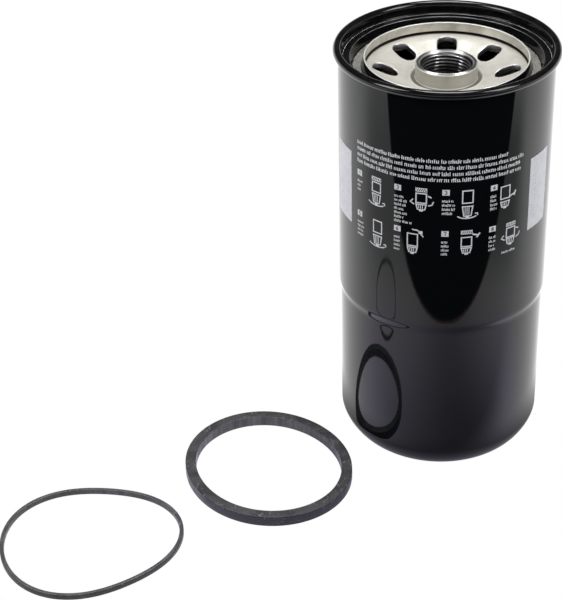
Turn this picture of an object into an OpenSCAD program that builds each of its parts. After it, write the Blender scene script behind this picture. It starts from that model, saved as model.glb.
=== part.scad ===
// Spin-on fuel filter and water separator canister, with its two loose seals.
// The canister stands on its lower end and its axis is the Z axis. The origin is the centre
// of the bowl port's mouth, on the plane that the canister stands on.

/* [Canister] */
// Outside radius of the upper part of the can
can_r = 54; // [53.9:0.05:54.1]
// Outside radius of the can below the step
lower_r = 53.1; // [53:0.05:53.2]
// Height of the step's lower edge above the foot
step_z = 90; // [80:0.5:95]
// Height of the step itself
step_h = 3; // [2:0.5:5]
// Thickness of the can's steel sheet
wall = 0.9; // [0.8:0.05:1]
// How far in the bottom corner reaches
corner_w = 11; // [10:0.2:11]
// How far up the bottom corner reaches
corner_h = 15; // [14:0.5:17]

/* [Top seam and cover] */
// Height of the middle of the rolled rim
rim_z = 223.2; // [223:0.1:223.4]
// Radius of the rolled rim's round section
rim_tube_r = 2.2; // [2.1:0.05:2.3]
// Height of the ledge inside the rim
ledge_z = 219; // [218.8:0.1:219.2]
// Inside radius of the gasket groove's outer wall, at its floor
groove_outer_r = 47; // [46.9:0.05:47.2]
// Outside radius of the lip at the foot of the groove
groove_inner_r = 42.2; // [42.1:0.05:42.3]
// Thickness of the cover's steel sheet
cover_t = 0.8; // [0.75:0.05:0.85]

/* [Thread plate] */
// Height of the plate's flat outer zone, which carries the cover
plate_z = 212.9; // [212.8:0.05:213]
// Thickness of the plate
plate_t = 3; // [2.6:0.1:3.2]
// Height of the plate's flat centre
dish_z = 208.2; // [207.8:0.1:208.6]
// Height of the collar's mouth
collar_z = 215.8; // [214:0.2:217]
// Outside radius of the collar
collar_r = 15.5; // [15.3:0.1:15.6]
// Radius of the head thread's bore, before the thread is cut
head_bore_r = 11.8; // [11.6:0.1:12]
// Number of flow slots round the collar
slot_count = 8; // [6:1:8]
// Width of a flow slot
slot_w = 9.7; // [8:0.1:10]
// Length of a flow slot from end to end, along the radius
slot_len = 12.6; // [11:0.1:12.8]
// Radius of the circle through the slots' centres
slot_ring_r = 30.4; // [30.2:0.1:30.8]

/* [Bowl port] */
// Radius of the bowl thread's bore, before the thread is cut
bowl_bore_r = 38.4; // [38:0.1:38.6]
// Length of the bowl thread
bowl_thread_len = 16; // [15.5:0.1:16]

/* [Filter element] */
// Outside radius of the pleats
pleat_outer_r = 45.8; // [45:0.1:45.8]
// Inside radius of the pleats
pleat_inner_r = 22.8; // [22.4:0.1:24]
// Number of pleats
pleat_count = 48; // [36:1:50]
// Thickness of the filter paper
paper_t = 0.7; // [0.5:0.05:0.7]
// Columns of holes through the core tube, counted across both walls
core_columns = 4; // [3:1:4]
// Rows of holes along the core tube
core_rows = 10; // [8:1:11]
// Number of glue bands round the pleats
band_count = 3; // [3:1:3]

/* [Element spring] */
// Mean radius of the spring's coils
spring_r = 43.2; // [43:0.1:43.4]
// Thickness of the spring wire
spring_wire = 2.4; // [2:0.1:2.6]
// Number of turns
spring_turns = 3.5; // [3:0.5:4]

/* [Loose seals] */
// Place of the head gasket's centre on the ground
gasket_at = [-89.7, -56.3]; // [-120:0.1:-50]
// Mean radius of the head gasket
gasket_r = 42.6; // [42.3:0.1:42.9]
// Width of the head gasket's section
gasket_w = 5.8; // [5.4:0.1:6]
// Height of the head gasket's section
gasket_h = 6.1; // [5.8:0.1:6.4]
// Place of the bowl seal's centre on the ground
ring_at = [-175.8, -120.2]; // [-200:0.1:-100]
// Mean radius of the bowl seal
ring_r = 43.4; // [43:0.1:44]
// Width of the bowl seal's section
ring_w = 2.2; // [2:0.1:2.4]
// Height of the bowl seal's section
ring_h = 3.2; // [3:0.1:3.4]

/* [Hidden] */
$fn = 96;

// Levels, from the bottom up
foot_r = lower_r - corner_w;
corner_power = 1.35;
port_flange_r = 41;
port_flange_h = 13;
seat_z = bowl_thread_len;
seat_t = 1.2;
spring_z = seat_z + seat_t;
cap_t = 0.8;
lower_cap_z = 41.2;
lower_pot_z = lower_cap_z + cap_t;
pot_t = 3;
media_z = lower_pot_z + pot_t;
upper_cap_z = 196;
media_top = upper_cap_z - pot_t;
cap_r = 47;
skirt_h = 5.3;

// The seam's own parts inside the roll
rim_r = can_r + 0.1;
roll_hollow_r = 1.35;
bead_r = 0.8;
floor_z = plate_z + cover_t;

// The element's middle
core_r = 21;
core_t = 0.8;
cage_r = 18.4;
cage_t = 1.8;
cage_z = lower_pot_z + 2;
cage_len = 146;
screen_t = 0.3;
seal_r = 15.4;
seal_collar_r = 20.2;
plate_r = 51.6;
collar_root_r = 18.4;
cone_in_r = 22.5;
cone_out_r = 34.8;
neck_drop = 4;

// A point on the can's bottom corner, d inside its outer face: 90 is at the foot, 0 at the side
function on_corner(d, angle) =
    [foot_r + (corner_w - d) * pow(cos(angle), corner_power),
     corner_h - (corner_h - d) * pow(sin(angle), corner_power)];

// Outline of the closed can, d inside its outer face, from the axis up to the top
function can_outline(d) = concat(
    [[0, d]],
    [for (angle = [90:-10:0]) on_corner(d, angle)],
    [[lower_r - d, step_z], [can_r - d, step_z + step_h],
     [can_r - d, rim_z - 0.5 + d], [0, rim_z - 0.5 + d]]);

module can_shell() {
    color([0.03, 0.03, 0.035])
    rotate_extrude() {
        difference() {
            polygon(can_outline(0));
            polygon(can_outline(wall));
            square([port_flange_r, 10]);
        }
        translate([port_flange_r, 0]) square([wall, port_flange_h]);
        translate([rim_r, rim_z]) circle(bead_r);
    }
}

// The cover's sheet, from the roll's inner side down to the groove and up its lip
module cover_sheet() {
    flank_r = rim_r - rim_tube_r;
    polygon([
        [flank_r, rim_z], [flank_r + 0.3, ledge_z + 0.6], [flank_r - 0.4, ledge_z],
        [groove_outer_r + 1.1, ledge_z], [groove_outer_r + 0.7, ledge_z - 0.6],
        [groove_outer_r, floor_z], [groove_inner_r, floor_z],
        [groove_inner_r - 0.5, floor_z + 0.6], [groove_inner_r - 1.1, ledge_z],
        [groove_inner_r - 1.9, ledge_z], [groove_inner_r - 1.5, floor_z + 0.4],
        [groove_inner_r - 0.3, plate_z], [groove_outer_r + cover_t, plate_z],
        [groove_outer_r + 0.8 + cover_t, ledge_z - cover_t],
        [flank_r + 0.3, ledge_z - cover_t], [flank_r + 1.05, ledge_z + 0.2],
        [flank_r + 1.05, rim_z]]);
}

module seam_cover() {
    color([0.05, 0.05, 0.055])
    rotate_extrude() {
        difference() {
            translate([rim_r, rim_z]) circle(rim_tube_r);
            translate([rim_r, rim_z]) circle(roll_hollow_r);
            translate([rim_r - rim_tube_r + 1.05, rim_z - 3]) square([1.5, 3]);
        }
        cover_sheet();
    }
}

module seam_compound() {
    color([0.75, 0.7, 0.6])
    rotate_extrude()
    difference() {
        translate([rim_r, rim_z]) circle(roll_hollow_r);
        translate([rim_r, rim_z]) circle(bead_r);
        translate([rim_r - roll_hollow_r, rim_z - 2]) square([2 * roll_hollow_r, 2]);
    }
}

module plate_outline() {
    polygon([
        [head_bore_r, collar_z - 1.6], [13.4, collar_z], [collar_r - 0.5, collar_z],
        [collar_r, collar_z - 0.5], [collar_r, dish_z + 0.4], [collar_r + 0.6, dish_z - 0.5],
        [collar_root_r - 0.5, dish_z - 0.5], [collar_root_r, dish_z],
        [cone_in_r, dish_z], [cone_out_r, plate_z], [plate_r, plate_z],
        [plate_r, plate_z - plate_t], [cone_out_r + 0.6, plate_z - plate_t],
        [cone_in_r + 0.6, dish_z - plate_t], [seal_r - 0.4, dish_z - plate_t],
        [seal_r - 0.4, dish_z - plate_t - neck_drop], [head_bore_r, dish_z - plate_t - neck_drop]]);
}

// An obround bar that cuts one flow slot, at the +X side
module slot_cutter() {
    end_offset = (slot_len - slot_w) / 2;
    low_z = dish_z - 8;
    for (side = [-1, 1])
        translate([slot_ring_r + side * end_offset, 0, low_z]) cylinder(h = 20, d = slot_w);
    translate([slot_ring_r - end_offset, -slot_w / 2, low_z]) cube([2 * end_offset, slot_w, 20]);
}

module thread_plate() {
    color([0.8, 0.79, 0.75])
    difference() {
        rotate_extrude() plate_outline();
        for (i = [0:slot_count - 1])
            rotate([0, 0, 90 + i * 360 / slot_count]) slot_cutter();
    }
}

module bowl_port_ring() {
    shoulder_r = 46;
    color([0.62, 0.62, 0.6])
    rotate_extrude() {
        translate([bowl_bore_r, 0])
            square([port_flange_r - bowl_bore_r, bowl_thread_len]);
        translate([bowl_bore_r, port_flange_h])
            square([shoulder_r - bowl_bore_r, bowl_thread_len - port_flange_h]);
    }
}

module spring_seat() {
    inner_r = 39.6;
    outer_r = 46.6;
    lip_h = 5;
    color([0.72, 0.7, 0.62])
    rotate_extrude() {
        translate([inner_r, seat_z]) square([outer_r - inner_r, seat_t]);
        translate([outer_r - 1, seat_z]) square([1, lip_h]);
    }
}

// Unit vector from p to q
function toward(p, q) = (q - p) / norm(q - p);

// A tube of n sides along the points, with flat ends
module sweep(points, radius, n) {
    count = len(points);
    ahead = function(i) points[min(i + 1, count - 1)];
    behind = function(i) points[max(i - 1, 0)];
    rings = [for (i = [0:count - 1])
        let (t = toward(behind(i), ahead(i)),
             side = cross(t, [0, 0, 1]) / norm(cross(t, [0, 0, 1])),
             rise = cross(side, t))
        [for (k = [0:n - 1])
            points[i] + radius * (cos(360 * k / n) * side + sin(360 * k / n) * rise)]];
    walls = [for (i = [0:count - 2], k = [0:n - 1])
        [i * n + k, i * n + (k + 1) % n, (i + 1) * n + (k + 1) % n, (i + 1) * n + k]];
    ends = [[for (k = [n - 1:-1:0]) k], [for (k = [0:n - 1]) (count - 1) * n + k]];
    polyhedron([for (ring = rings, p = ring) p], concat(walls, ends), convexity = 8);
}

// Height fraction along the spring: flat for the first and last three quarters of a turn
function spring_rise(turn) =
    min(1, max(0, (turn - 0.75) / (spring_turns - 1.5)));

module element_spring() {
    steps_per_turn = 20;
    low_z = spring_z + spring_wire / 2 + 0.1;
    high_z = lower_cap_z - spring_wire / 2 - 0.3;
    dead = spring_wire + 0.15;
    color([0.45, 0.45, 0.47])
    sweep([for (i = [0:spring_turns * steps_per_turn])
            let (turn = i / steps_per_turn,
                 lift = dead * min(turn, 0.75) / 0.75
                      + dead * max(0, turn - spring_turns + 0.75) / 0.75)
            [spring_r * cos(360 * turn), spring_r * sin(360 * turn),
             low_z + lift + (high_z - low_z - 2 * dead) * spring_rise(turn)]],
        spring_wire / 2, 8);
}

module lower_end_cap() {
    color([0.7, 0.68, 0.6])
    rotate_extrude() {
        translate([0, lower_cap_z]) square([cap_r, cap_t]);
        translate([cap_r - cap_t, lower_cap_z]) square([cap_t, skirt_h]);
    }
}

// Glue disc between the pleats and an end cap
module potting(z) {
    rotate_extrude()
        translate([core_r + core_t + 0.1, z]) square([cap_r - cap_t - core_r - core_t - 0.2, pot_t]);
}

module lower_potting() {
    color([0.35, 0.3, 0.24]) potting(lower_pot_z);
}

module upper_potting() {
    color([0.35, 0.3, 0.24]) potting(media_top);
}

// Closed zigzag outline; the tips and valleys are flat, with the given half widths in degrees
function zigzag(tip_r, tip_a, valley_r, valley_a) =
    [for (i = [0:pleat_count - 1])
        let (mid = 360 * i / pleat_count, next = mid + 180 / pleat_count)
        for (corner = [[tip_r, mid - tip_a], [tip_r, mid + tip_a],
                       [valley_r, next - valley_a], [valley_r, next + valley_a]])
        corner[0] * [cos(corner[1]), sin(corner[1])]];

module pleated_media() {
    tip_angle = atan(paper_t / pleat_outer_r);
    valley_angle = atan(paper_t / pleat_inner_r);
    color([0.85, 0.72, 0.45])
    translate([0, 0, media_z])
    linear_extrude(media_top - media_z)
    difference() {
        polygon(zigzag(pleat_outer_r, 1.5 * tip_angle, pleat_inner_r + paper_t,
            0.35 * valley_angle));
        polygon(zigzag(pleat_outer_r - paper_t, 0.5 * tip_angle, pleat_inner_r,
            1.35 * valley_angle));
    }
}

module media_seam_clip() {
    clip_len = 6;
    clip_half = 1.5;
    clip_t = 0.35;
    gap = 2;
    color([0.7, 0.7, 0.72])
    translate([pleat_outer_r - clip_len + clip_t, -clip_half, media_z + gap])
    difference() {
        cube([clip_len, 2 * clip_half, media_top - media_z - 2 * gap]);
        translate([-1, clip_t, -1])
            cube([clip_len + 1 - clip_t + 0.05, 2 * (clip_half - clip_t), media_top - media_z]);
    }
}

// Glue band round the pleats, open where the seam clip passes
module media_band(level) {
    band_h = 3;
    notch = 1.8;
    middle = media_z + level * (media_top - media_z) / (band_count + 1);
    color([0.9, 0.86, 0.7])
    difference() {
        rotate_extrude()
            translate([pleat_outer_r, middle - band_h / 2]) square([0.9, band_h]);
        translate([0, -notch, middle - band_h]) cube([60, 2 * notch, 2 * band_h]);
    }
}

module media_band_1() {
    media_band(1);
}

module media_band_2() {
    media_band(2);
}

module media_band_3() {
    media_band(3);
}

module perforated_core() {
    length = upper_cap_z - lower_pot_z;
    pitch = (length - 16) / core_rows;
    color([0.66, 0.66, 0.64])
    difference() {
        rotate_extrude() translate([core_r, lower_pot_z]) square([core_t, length]);
        for (row = [0:core_rows - 1], column = [0:core_columns - 1])
            translate([0, 0, lower_pot_z + 8 + (row + 0.5) * pitch])
            rotate([90, 0, (column + (row % 2) / 2) * 180 / core_columns])
                cylinder(h = 60, r = 3, center = true);
    }
}

module screen_frame() {
    ring_h = 4;
    gaps = 4;
    rib_count = 6;
    rib_w = 3;
    color([0.2, 0.32, 0.5])
    difference() {
        union() {
            for (i = [0:gaps])
                translate([0, 0, cage_z + i * (cage_len - ring_h) / gaps])
                    cylinder(h = ring_h, r = cage_r + cage_t);
            intersection() {
                translate([0, 0, cage_z]) cylinder(h = cage_len, r = cage_r + cage_t);
                for (i = [0:rib_count / 2 - 1])
                    rotate([0, 0, i * 360 / rib_count])
                    translate([-30, -rib_w / 2, cage_z]) cube([60, rib_w, cage_len]);
            }
        }
        translate([0, 0, cage_z - 1]) cylinder(h = cage_len + 2, r = cage_r);
    }
}

module separator_screen() {
    color([0.8, 0.8, 0.78])
    rotate_extrude()
        translate([cage_r + cage_t + 0.05, cage_z]) square([screen_t, cage_len]);
}

module upper_end_cap() {
    hole_r = seal_r + 1.2;
    collar_h = 6.6;
    color([0.7, 0.68, 0.6])
    rotate_extrude() {
        translate([hole_r, upper_cap_z]) square([cap_r - hole_r, cap_t]);
        translate([cap_r - cap_t, upper_cap_z + cap_t - skirt_h]) square([cap_t, skirt_h]);
        translate([seal_collar_r, upper_cap_z]) square([cap_t, collar_h]);
    }
}

module neck_seal() {
    seal_top = dish_z - plate_t - 0.3;
    seat = upper_cap_z + cap_t;
    color([0.08, 0.08, 0.08])
    rotate_extrude()
    polygon([
        [seal_r + 0.6, seat], [seal_collar_r, seat], [seal_collar_r, seat + 5.4],
        [seal_collar_r - 1, seal_top - 1], [seal_collar_r - 2.4, seal_top],
        [seal_r + 0.8, seal_top - 0.4], [seal_r, seal_top - 2], [seal_r + 0.9, seat + 2]]);
}

// Radius of a slack ring at an angle: swell is [amount, direction] of its oval, bias of its bulge
function slack_r(mean, swell, bias, angle) =
    mean + swell[0] * cos(2 * (angle - swell[1])) + bias[0] * cos(3 * (angle - bias[1]));

// Points round a slack ring, in its own plane
function slack_ring(mean, swell, bias) =
    [for (angle = [0:5:359]) slack_r(mean, swell, bias, angle) * [cos(angle), sin(angle)]];

// A slack seal that lies on the ground, of rectangular section
module loose_seal(at, mean, width, height, swell, bias) {
    translate([at[0], at[1], 0])
    linear_extrude(height)
    difference() {
        polygon(slack_ring(mean + width / 2, swell, bias));
        polygon(slack_ring(mean - width / 2, swell, bias));
    }
}

module head_gasket() {
    color([0.17, 0.17, 0.18])
    loose_seal(gasket_at, gasket_r, gasket_w, gasket_h, [2.4, -51.5], [0.13, -3]);
}

module bowl_o_ring() {
    color([0.15, 0.15, 0.16])
    loose_seal(ring_at, ring_r, ring_w, ring_h, [2.6, 17], [1.75, 18.7]);
}

can_shell();
seam_cover();
seam_compound();
thread_plate();
bowl_port_ring();
spring_seat();
element_spring();
lower_end_cap();
lower_potting();
pleated_media();
media_seam_clip();
media_band_1();
media_band_2();
media_band_3();
perforated_core();
screen_frame();
separator_screen();
upper_potting();
upper_end_cap();
neck_seal();
head_gasket();
bowl_o_ring();
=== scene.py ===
"""Looks of a spin-on fuel filter and its two loose seals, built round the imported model.

Sizes in the classes are millimetres. MeshDraft turns them into metres, in the frame's own axes.
"""

import logging
import math
import random
from dataclasses import dataclass
from enum import Enum
from typing import Sequence

import bmesh
import bpy
from mathutils import Matrix, Vector


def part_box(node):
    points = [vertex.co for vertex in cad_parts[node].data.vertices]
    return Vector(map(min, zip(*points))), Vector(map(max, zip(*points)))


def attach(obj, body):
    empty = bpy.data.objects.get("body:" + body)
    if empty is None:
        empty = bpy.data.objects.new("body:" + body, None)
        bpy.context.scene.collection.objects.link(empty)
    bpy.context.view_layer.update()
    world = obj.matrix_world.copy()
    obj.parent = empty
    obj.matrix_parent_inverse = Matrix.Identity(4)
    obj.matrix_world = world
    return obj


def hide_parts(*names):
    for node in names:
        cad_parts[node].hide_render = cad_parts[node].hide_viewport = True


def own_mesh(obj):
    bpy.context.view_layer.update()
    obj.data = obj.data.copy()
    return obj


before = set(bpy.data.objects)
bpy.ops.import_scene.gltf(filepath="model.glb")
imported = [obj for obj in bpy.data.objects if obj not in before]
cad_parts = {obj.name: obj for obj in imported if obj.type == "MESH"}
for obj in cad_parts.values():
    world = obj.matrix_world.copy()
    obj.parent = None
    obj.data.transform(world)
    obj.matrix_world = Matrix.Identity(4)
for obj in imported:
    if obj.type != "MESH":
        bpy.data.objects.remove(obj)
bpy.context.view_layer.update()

MM = 0.001
ARC_STEP = math.radians(12)
FINE_TURN = 288
log = logging.getLogger("filter")

Flat = tuple[float, float]
Span = tuple[float, float]
Point = tuple[float, float, float]
Colour = tuple[float, float, float]
Socket = bpy.types.NodeSocket
Sockets = dict[str, Socket]
Feed = float | Colour | Socket


class Body(Enum):
    """The bodies that pieces ride on."""

    CANISTER = "canister"
    ELEMENT = "element"
    HEAD_SEAL = "head_seal"
    BOWL_SEAL = "bowl_seal"


class Relief(Enum):
    """The kinds of fine surface relief that a finish can have."""

    GRAIN = "fine_grain"
    TURNED = "turning_marks"
    WOVEN = "weave"


# ---------------------------------------------------------------- outlines and meshes


@dataclass(frozen=True)
class Corner:
    """A corner of an outline in the (radius, height) plane, and the radius that rounds it."""

    across: float
    up: float
    radius: float = 0.0


def polar(radius: float, angle: float) -> Flat:
    """The point at a radius and an angle in radians."""
    return (radius * math.cos(angle), radius * math.sin(angle))


def full_turn(steps: int) -> list[float]:
    """The angles in radians of the equal steps of a full turn."""
    return [math.tau * i / steps for i in range(steps)]


def arc(centre: Flat, radius: float, start: float, end: float) -> list[Flat]:
    """Points along an arc.

    Args:
        centre: the arc's centre.
        radius: its radius.
        start: its first angle in degrees, counted from the first axis.
        end: its last angle in degrees.

    Returns:
        The points, both ends included.
    """
    steps = max(2, math.ceil(math.radians(abs(end - start)) / ARC_STEP))
    spokes = [polar(radius, math.radians(start + (end - start) * i / steps)) for i in range(steps + 1)]
    return [(centre[0] + x, centre[1] + y) for x, y in spokes]


def rounded(corners: Sequence[Corner], closed: bool = True) -> list[Flat]:
    """Turns corners into an outline whose corners are arcs.

    Args:
        corners: the corners in order. One with no radius stays sharp.
        closed: whether the last corner joins the first.

    Returns:
        The outline's points.
    """
    most_of_side = 0.48
    outline: list[Flat] = []
    for i, corner in enumerate(corners):
        here = Vector((corner.across, corner.up))
        at_end = not closed and i in (0, len(corners) - 1)
        if corner.radius <= 0 or at_end:
            outline.append((here.x, here.y))
            continue
        before, after = corners[i - 1], corners[(i + 1) % len(corners)]
        back = Vector((before.across, before.up)) - here
        ahead = Vector((after.across, after.up)) - here
        half = back.angle(ahead) / 2
        reach = min(corner.radius / math.tan(half), most_of_side * back.length, most_of_side * ahead.length)
        radius = reach * math.tan(half)
        middle = here + (back.normalized() + ahead.normalized()).normalized() * radius / math.sin(half)
        first = here + back.normalized() * reach - middle
        last = here + ahead.normalized() * reach - middle
        turn = math.degrees(first.angle(last))
        start = math.degrees(math.atan2(first.y, first.x))
        way = 1 if first.x * last.y - first.y * last.x > 0 else -1
        outline += arc((middle.x, middle.y), radius, start, start + way * turn)
    return outline


def smooth_step(value: float, low: float, high: float) -> float:
    """A smooth rise from 0 at low to 1 at high."""
    share = min(1.0, max(0.0, (value - low) / (high - low)))
    return share * share * (3 - 2 * share)


class HeightLine:
    """A surface of revolution's height as a function of the radius."""

    def __init__(self, outline: Sequence[Flat]) -> None:
        """Keeps the outline's (radius, height) points, whose radius rises."""
        self.outline = list(outline)

    def at(self, radius: float) -> float:
        """The height at a radius.

        Args:
            radius: distance from the axis.

        Returns:
            The height there, level beyond the outline's ends.
        """
        for (r0, z0), (r1, z1) in zip(self.outline, self.outline[1:]):
            if radius <= r1:
                share = max(0.0, (radius - r0) / (r1 - r0))
                return z0 + share * (z1 - z0)
        return self.outline[-1][1]


class MeshDraft:
    """Collects the points and faces of one piece, in millimetres, before its mesh is made."""

    WELD = 0.002
    SHARP = 38.0

    def __init__(self) -> None:
        """Starts with nothing."""
        self.points: list[Point] = []
        self.faces: list[tuple[int, ...]] = []

    def grid(self, rows: Sequence[Sequence[Point]], wrap_rows: bool = False,
             wrap_points: bool = False) -> None:
        """Adds a sheet of quads between rows of points.

        Args:
            rows: the rows, all equally long.
            wrap_rows: whether the last row joins the first.
            wrap_points: whether each row is a closed loop.
        """
        base, width, count = len(self.points), len(rows[0]), len(rows)
        for row in rows:
            self.points.extend(row)
        for i in range(count if wrap_rows else count - 1):
            here, there = base + i * width, base + (i + 1) % count * width
            for j in range(width if wrap_points else width - 1):
                k = (j + 1) % width
                self.faces.append((here + j, here + k, there + k, there + j))

    def lathe(self, outline: Sequence[Flat], segments: int, closed: bool = True) -> None:
        """Adds an outline turned round the Z axis.

        Args:
            outline: (radius, height) points.
            segments: how many steps make the full turn.
            closed: whether the outline's last point joins its first.
        """
        rows = [[(*polar(r, a), z) for r, z in outline] for a in full_turn(segments)]
        self.grid(rows, wrap_rows=True, wrap_points=closed)

    def tube(self, sections: Sequence[Sequence[Point]], looped: bool = False) -> None:
        """Adds a skin over closed sections, with flat ends unless it is looped.

        Args:
            sections: the closed sections in order, all with the same number of points.
            looped: whether the last section joins the first.
        """
        base, width = len(self.points), len(sections[0])
        self.grid(sections, wrap_rows=looped, wrap_points=True)
        if not looped:
            last = base + (len(sections) - 1) * width
            self.faces.append(tuple(base + j for j in range(width)))
            self.faces.append(tuple(last + width - 1 - j for j in range(width)))

    def make(self, name: str) -> bpy.types.Object:
        """Welds the draft into a mesh object with smooth faces and sharp edges.

        Args:
            name: the piece's name.

        Returns:
            The object, linked to the scene.
        """
        mesh = bpy.data.meshes.new(name)
        mesh.from_pydata([(x * MM, y * MM, z * MM) for x, y, z in self.points], [], self.faces)
        work = bmesh.new()
        work.from_mesh(mesh)
        bmesh.ops.remove_doubles(work, verts=work.verts, dist=self.WELD * MM)
        bmesh.ops.recalc_face_normals(work, faces=work.faces)
        work.to_mesh(mesh)
        work.free()
        mesh.shade_smooth()
        mesh.set_sharp_from_angle(angle=math.radians(self.SHARP))
        made = bpy.data.objects.new(name, mesh)
        bpy.context.scene.collection.objects.link(made)
        return made


# ---------------------------------------------------------------- shader nodes


class Nodes:
    """Adds nodes to a shader tree in short calls."""

    def __init__(self, tree: bpy.types.NodeTree) -> None:
        """Keeps the tree that the nodes go into."""
        self.tree = tree

    @classmethod
    def fresh(cls, owner: bpy.types.Material | bpy.types.World) -> "Nodes":
        """Empties the tree of a material or of the world.

        Args:
            owner: the material or the world.

        Returns:
            Its tree's nodes.
        """
        owner.use_nodes = True
        owner.node_tree.nodes.clear()
        return cls(owner.node_tree)

    def add(self, kind: str, settings: dict[str, object] | None = None, **feeds: Feed) -> bpy.types.Node:
        """Adds a node.

        Args:
            kind: the node's type, without its ShaderNode prefix.
            settings: properties of the node itself.
            **feeds: values or links for its inputs, whose spaces are written as underscores.

        Returns:
            The node.
        """
        node = self.tree.nodes.new("ShaderNode" + kind)
        for key, value in (settings or {}).items():
            setattr(node, key, value)
        for key, value in feeds.items():
            self.feed(node.inputs[key.replace("_", " ")], value)
        return node

    def feed(self, socket: Socket, value: Feed) -> None:
        """Links or sets an input.

        Args:
            socket: the input.
            value: an output to link, or a number or colour to set.
        """
        if isinstance(value, Socket):
            self.tree.links.new(value, socket)
        elif socket.type == "RGBA":
            socket.default_value = (*value, 1.0)
        else:
            socket.default_value = value

    def maths(self, operation: str, first: Feed, *others: Feed) -> Socket:
        """A step of arithmetic, or several alike, from left to right.

        Args:
            operation: a Math node's operation.
            first: its first value.
            *others: the values that follow, if any.

        Returns:
            The result.
        """
        result = first
        for value in others or (0.0,):
            node = self.add("Math", {"operation": operation})
            self.feed(node.inputs[0], result)
            self.feed(node.inputs[1], value)
            result = node.outputs[0]
        return result

    def product(self, first: Feed, *others: Feed) -> Socket:
        """The product of some numbers."""
        return self.maths("MULTIPLY", first, *others)

    def greatest(self, first: Feed, *others: Feed) -> Socket:
        """The greatest of some numbers."""
        return self.maths("MAXIMUM", first, *others)

    def rest_of(self, share: Feed) -> Socket:
        """What is left of 1 beside a share."""
        return self.maths("SUBTRACT", 1.0, share)

    def per_metre(self, size: Feed) -> Socket:
        """How many steps of a size in millimetres there are in a metre."""
        return self.maths("DIVIDE", 1 / MM, size)

    def vectors(self, operation: str, first: Feed, second: Feed = (0.0, 0.0, 0.0)) -> Socket:
        """A step of vector arithmetic.

        Args:
            operation: a Vector Math node's operation.
            first: its first vector.
            second: its second vector, where it has one.

        Returns:
            The result, which is a number for a dot product.
        """
        node = self.add("VectorMath", {"operation": operation})
        self.feed(node.inputs[0], first)
        self.feed(node.inputs[1], second)
        return node.outputs["Value" if operation == "DOT_PRODUCT" else "Vector"]

    def ramp(self, value: Feed, low: float, high: float) -> Socket:
        """A smooth step from 0 at low to 1 at high, or the other way where low is the larger.

        Args:
            value: the number to read.
            low: where the result is 0.
            high: where the result is 1.

        Returns:
            The step.
        """
        node = self.add("MapRange", {"interpolation_type": "SMOOTHSTEP"}, Value=value)
        node.inputs["From Min"].default_value = min(low, high)
        node.inputs["From Max"].default_value = max(low, high)
        rising = low < high
        node.inputs["To Min"].default_value = 0.0 if rising else 1.0
        node.inputs["To Max"].default_value = 1.0 if rising else 0.0
        return node.outputs["Result"]

    def edge(self, value: Feed, at: float, soft: Span) -> Socket:
        """A smooth step near a level in millimetres, from 0 at one offset from it to 1 at another."""
        return self.ramp(value, (at + soft[0]) * MM, (at + soft[1]) * MM)

    def band(self, value: Feed, low: float, high: float) -> Socket:
        """A mask that is 1 between two levels in millimetres, with soft edges."""
        return self.product(self.edge(value, low, (-0.1, 0.15)), self.edge(value, high, (0.1, -0.15)))

    def blend(self, share: Feed, first: Feed, second: Feed) -> Socket:
        """Mixes two colours.

        Args:
            share: how much of the second shows.
            first: the first colour.
            second: the second colour.

        Returns:
            The mixed colour.
        """
        node = self.add("Mix", {"data_type": "RGBA"})
        self.feed(node.inputs[0], share)
        self.feed(node.inputs[6], first)
        self.feed(node.inputs[7], second)
        return node.outputs[2]

    def between(self, share: Feed, first: Feed, second: Feed) -> Socket:
        """Mixes two numbers.

        Args:
            share: how much of the second counts.
            first: the first number.
            second: the second number.

        Returns:
            The mixed number.
        """
        node = self.add("Mix", {"data_type": "FLOAT"})
        self.feed(node.inputs[0], share)
        self.feed(node.inputs[2], first)
        self.feed(node.inputs[3], second)
        return node.outputs[0]

    def place(self) -> tuple[Socket, Socket, Socket]:
        """Where a point is.

        Returns:
            The point itself, its distance from the Z axis and its height, all in metres.
        """
        where = self.add("TexCoord").outputs["Object"]
        x, y, height = self.split(where)
        squares = [self.maths("POWER", part, 2.0) for part in (x, y)]
        return where, self.maths("SQRT", self.maths("ADD", *squares)), height

    def split(self, vector: Feed) -> tuple[Socket, Socket, Socket]:
        """The three parts of a vector."""
        return tuple(self.add("SeparateXYZ", Vector=vector).outputs)

    def normal(self) -> Socket:
        """The direction that the surface faces."""
        return self.add("NewGeometry").outputs["Normal"]

    def noise(self, where: Feed, size: Feed, detail: float = 3.0) -> Socket:
        """Cloudy noise of so many cells in a metre and so many finer layers, mostly from 0.3 to 0.7."""
        return self.add("TexNoise", Vector=where, Scale=size, Detail=detail).outputs["Fac"]


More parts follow.
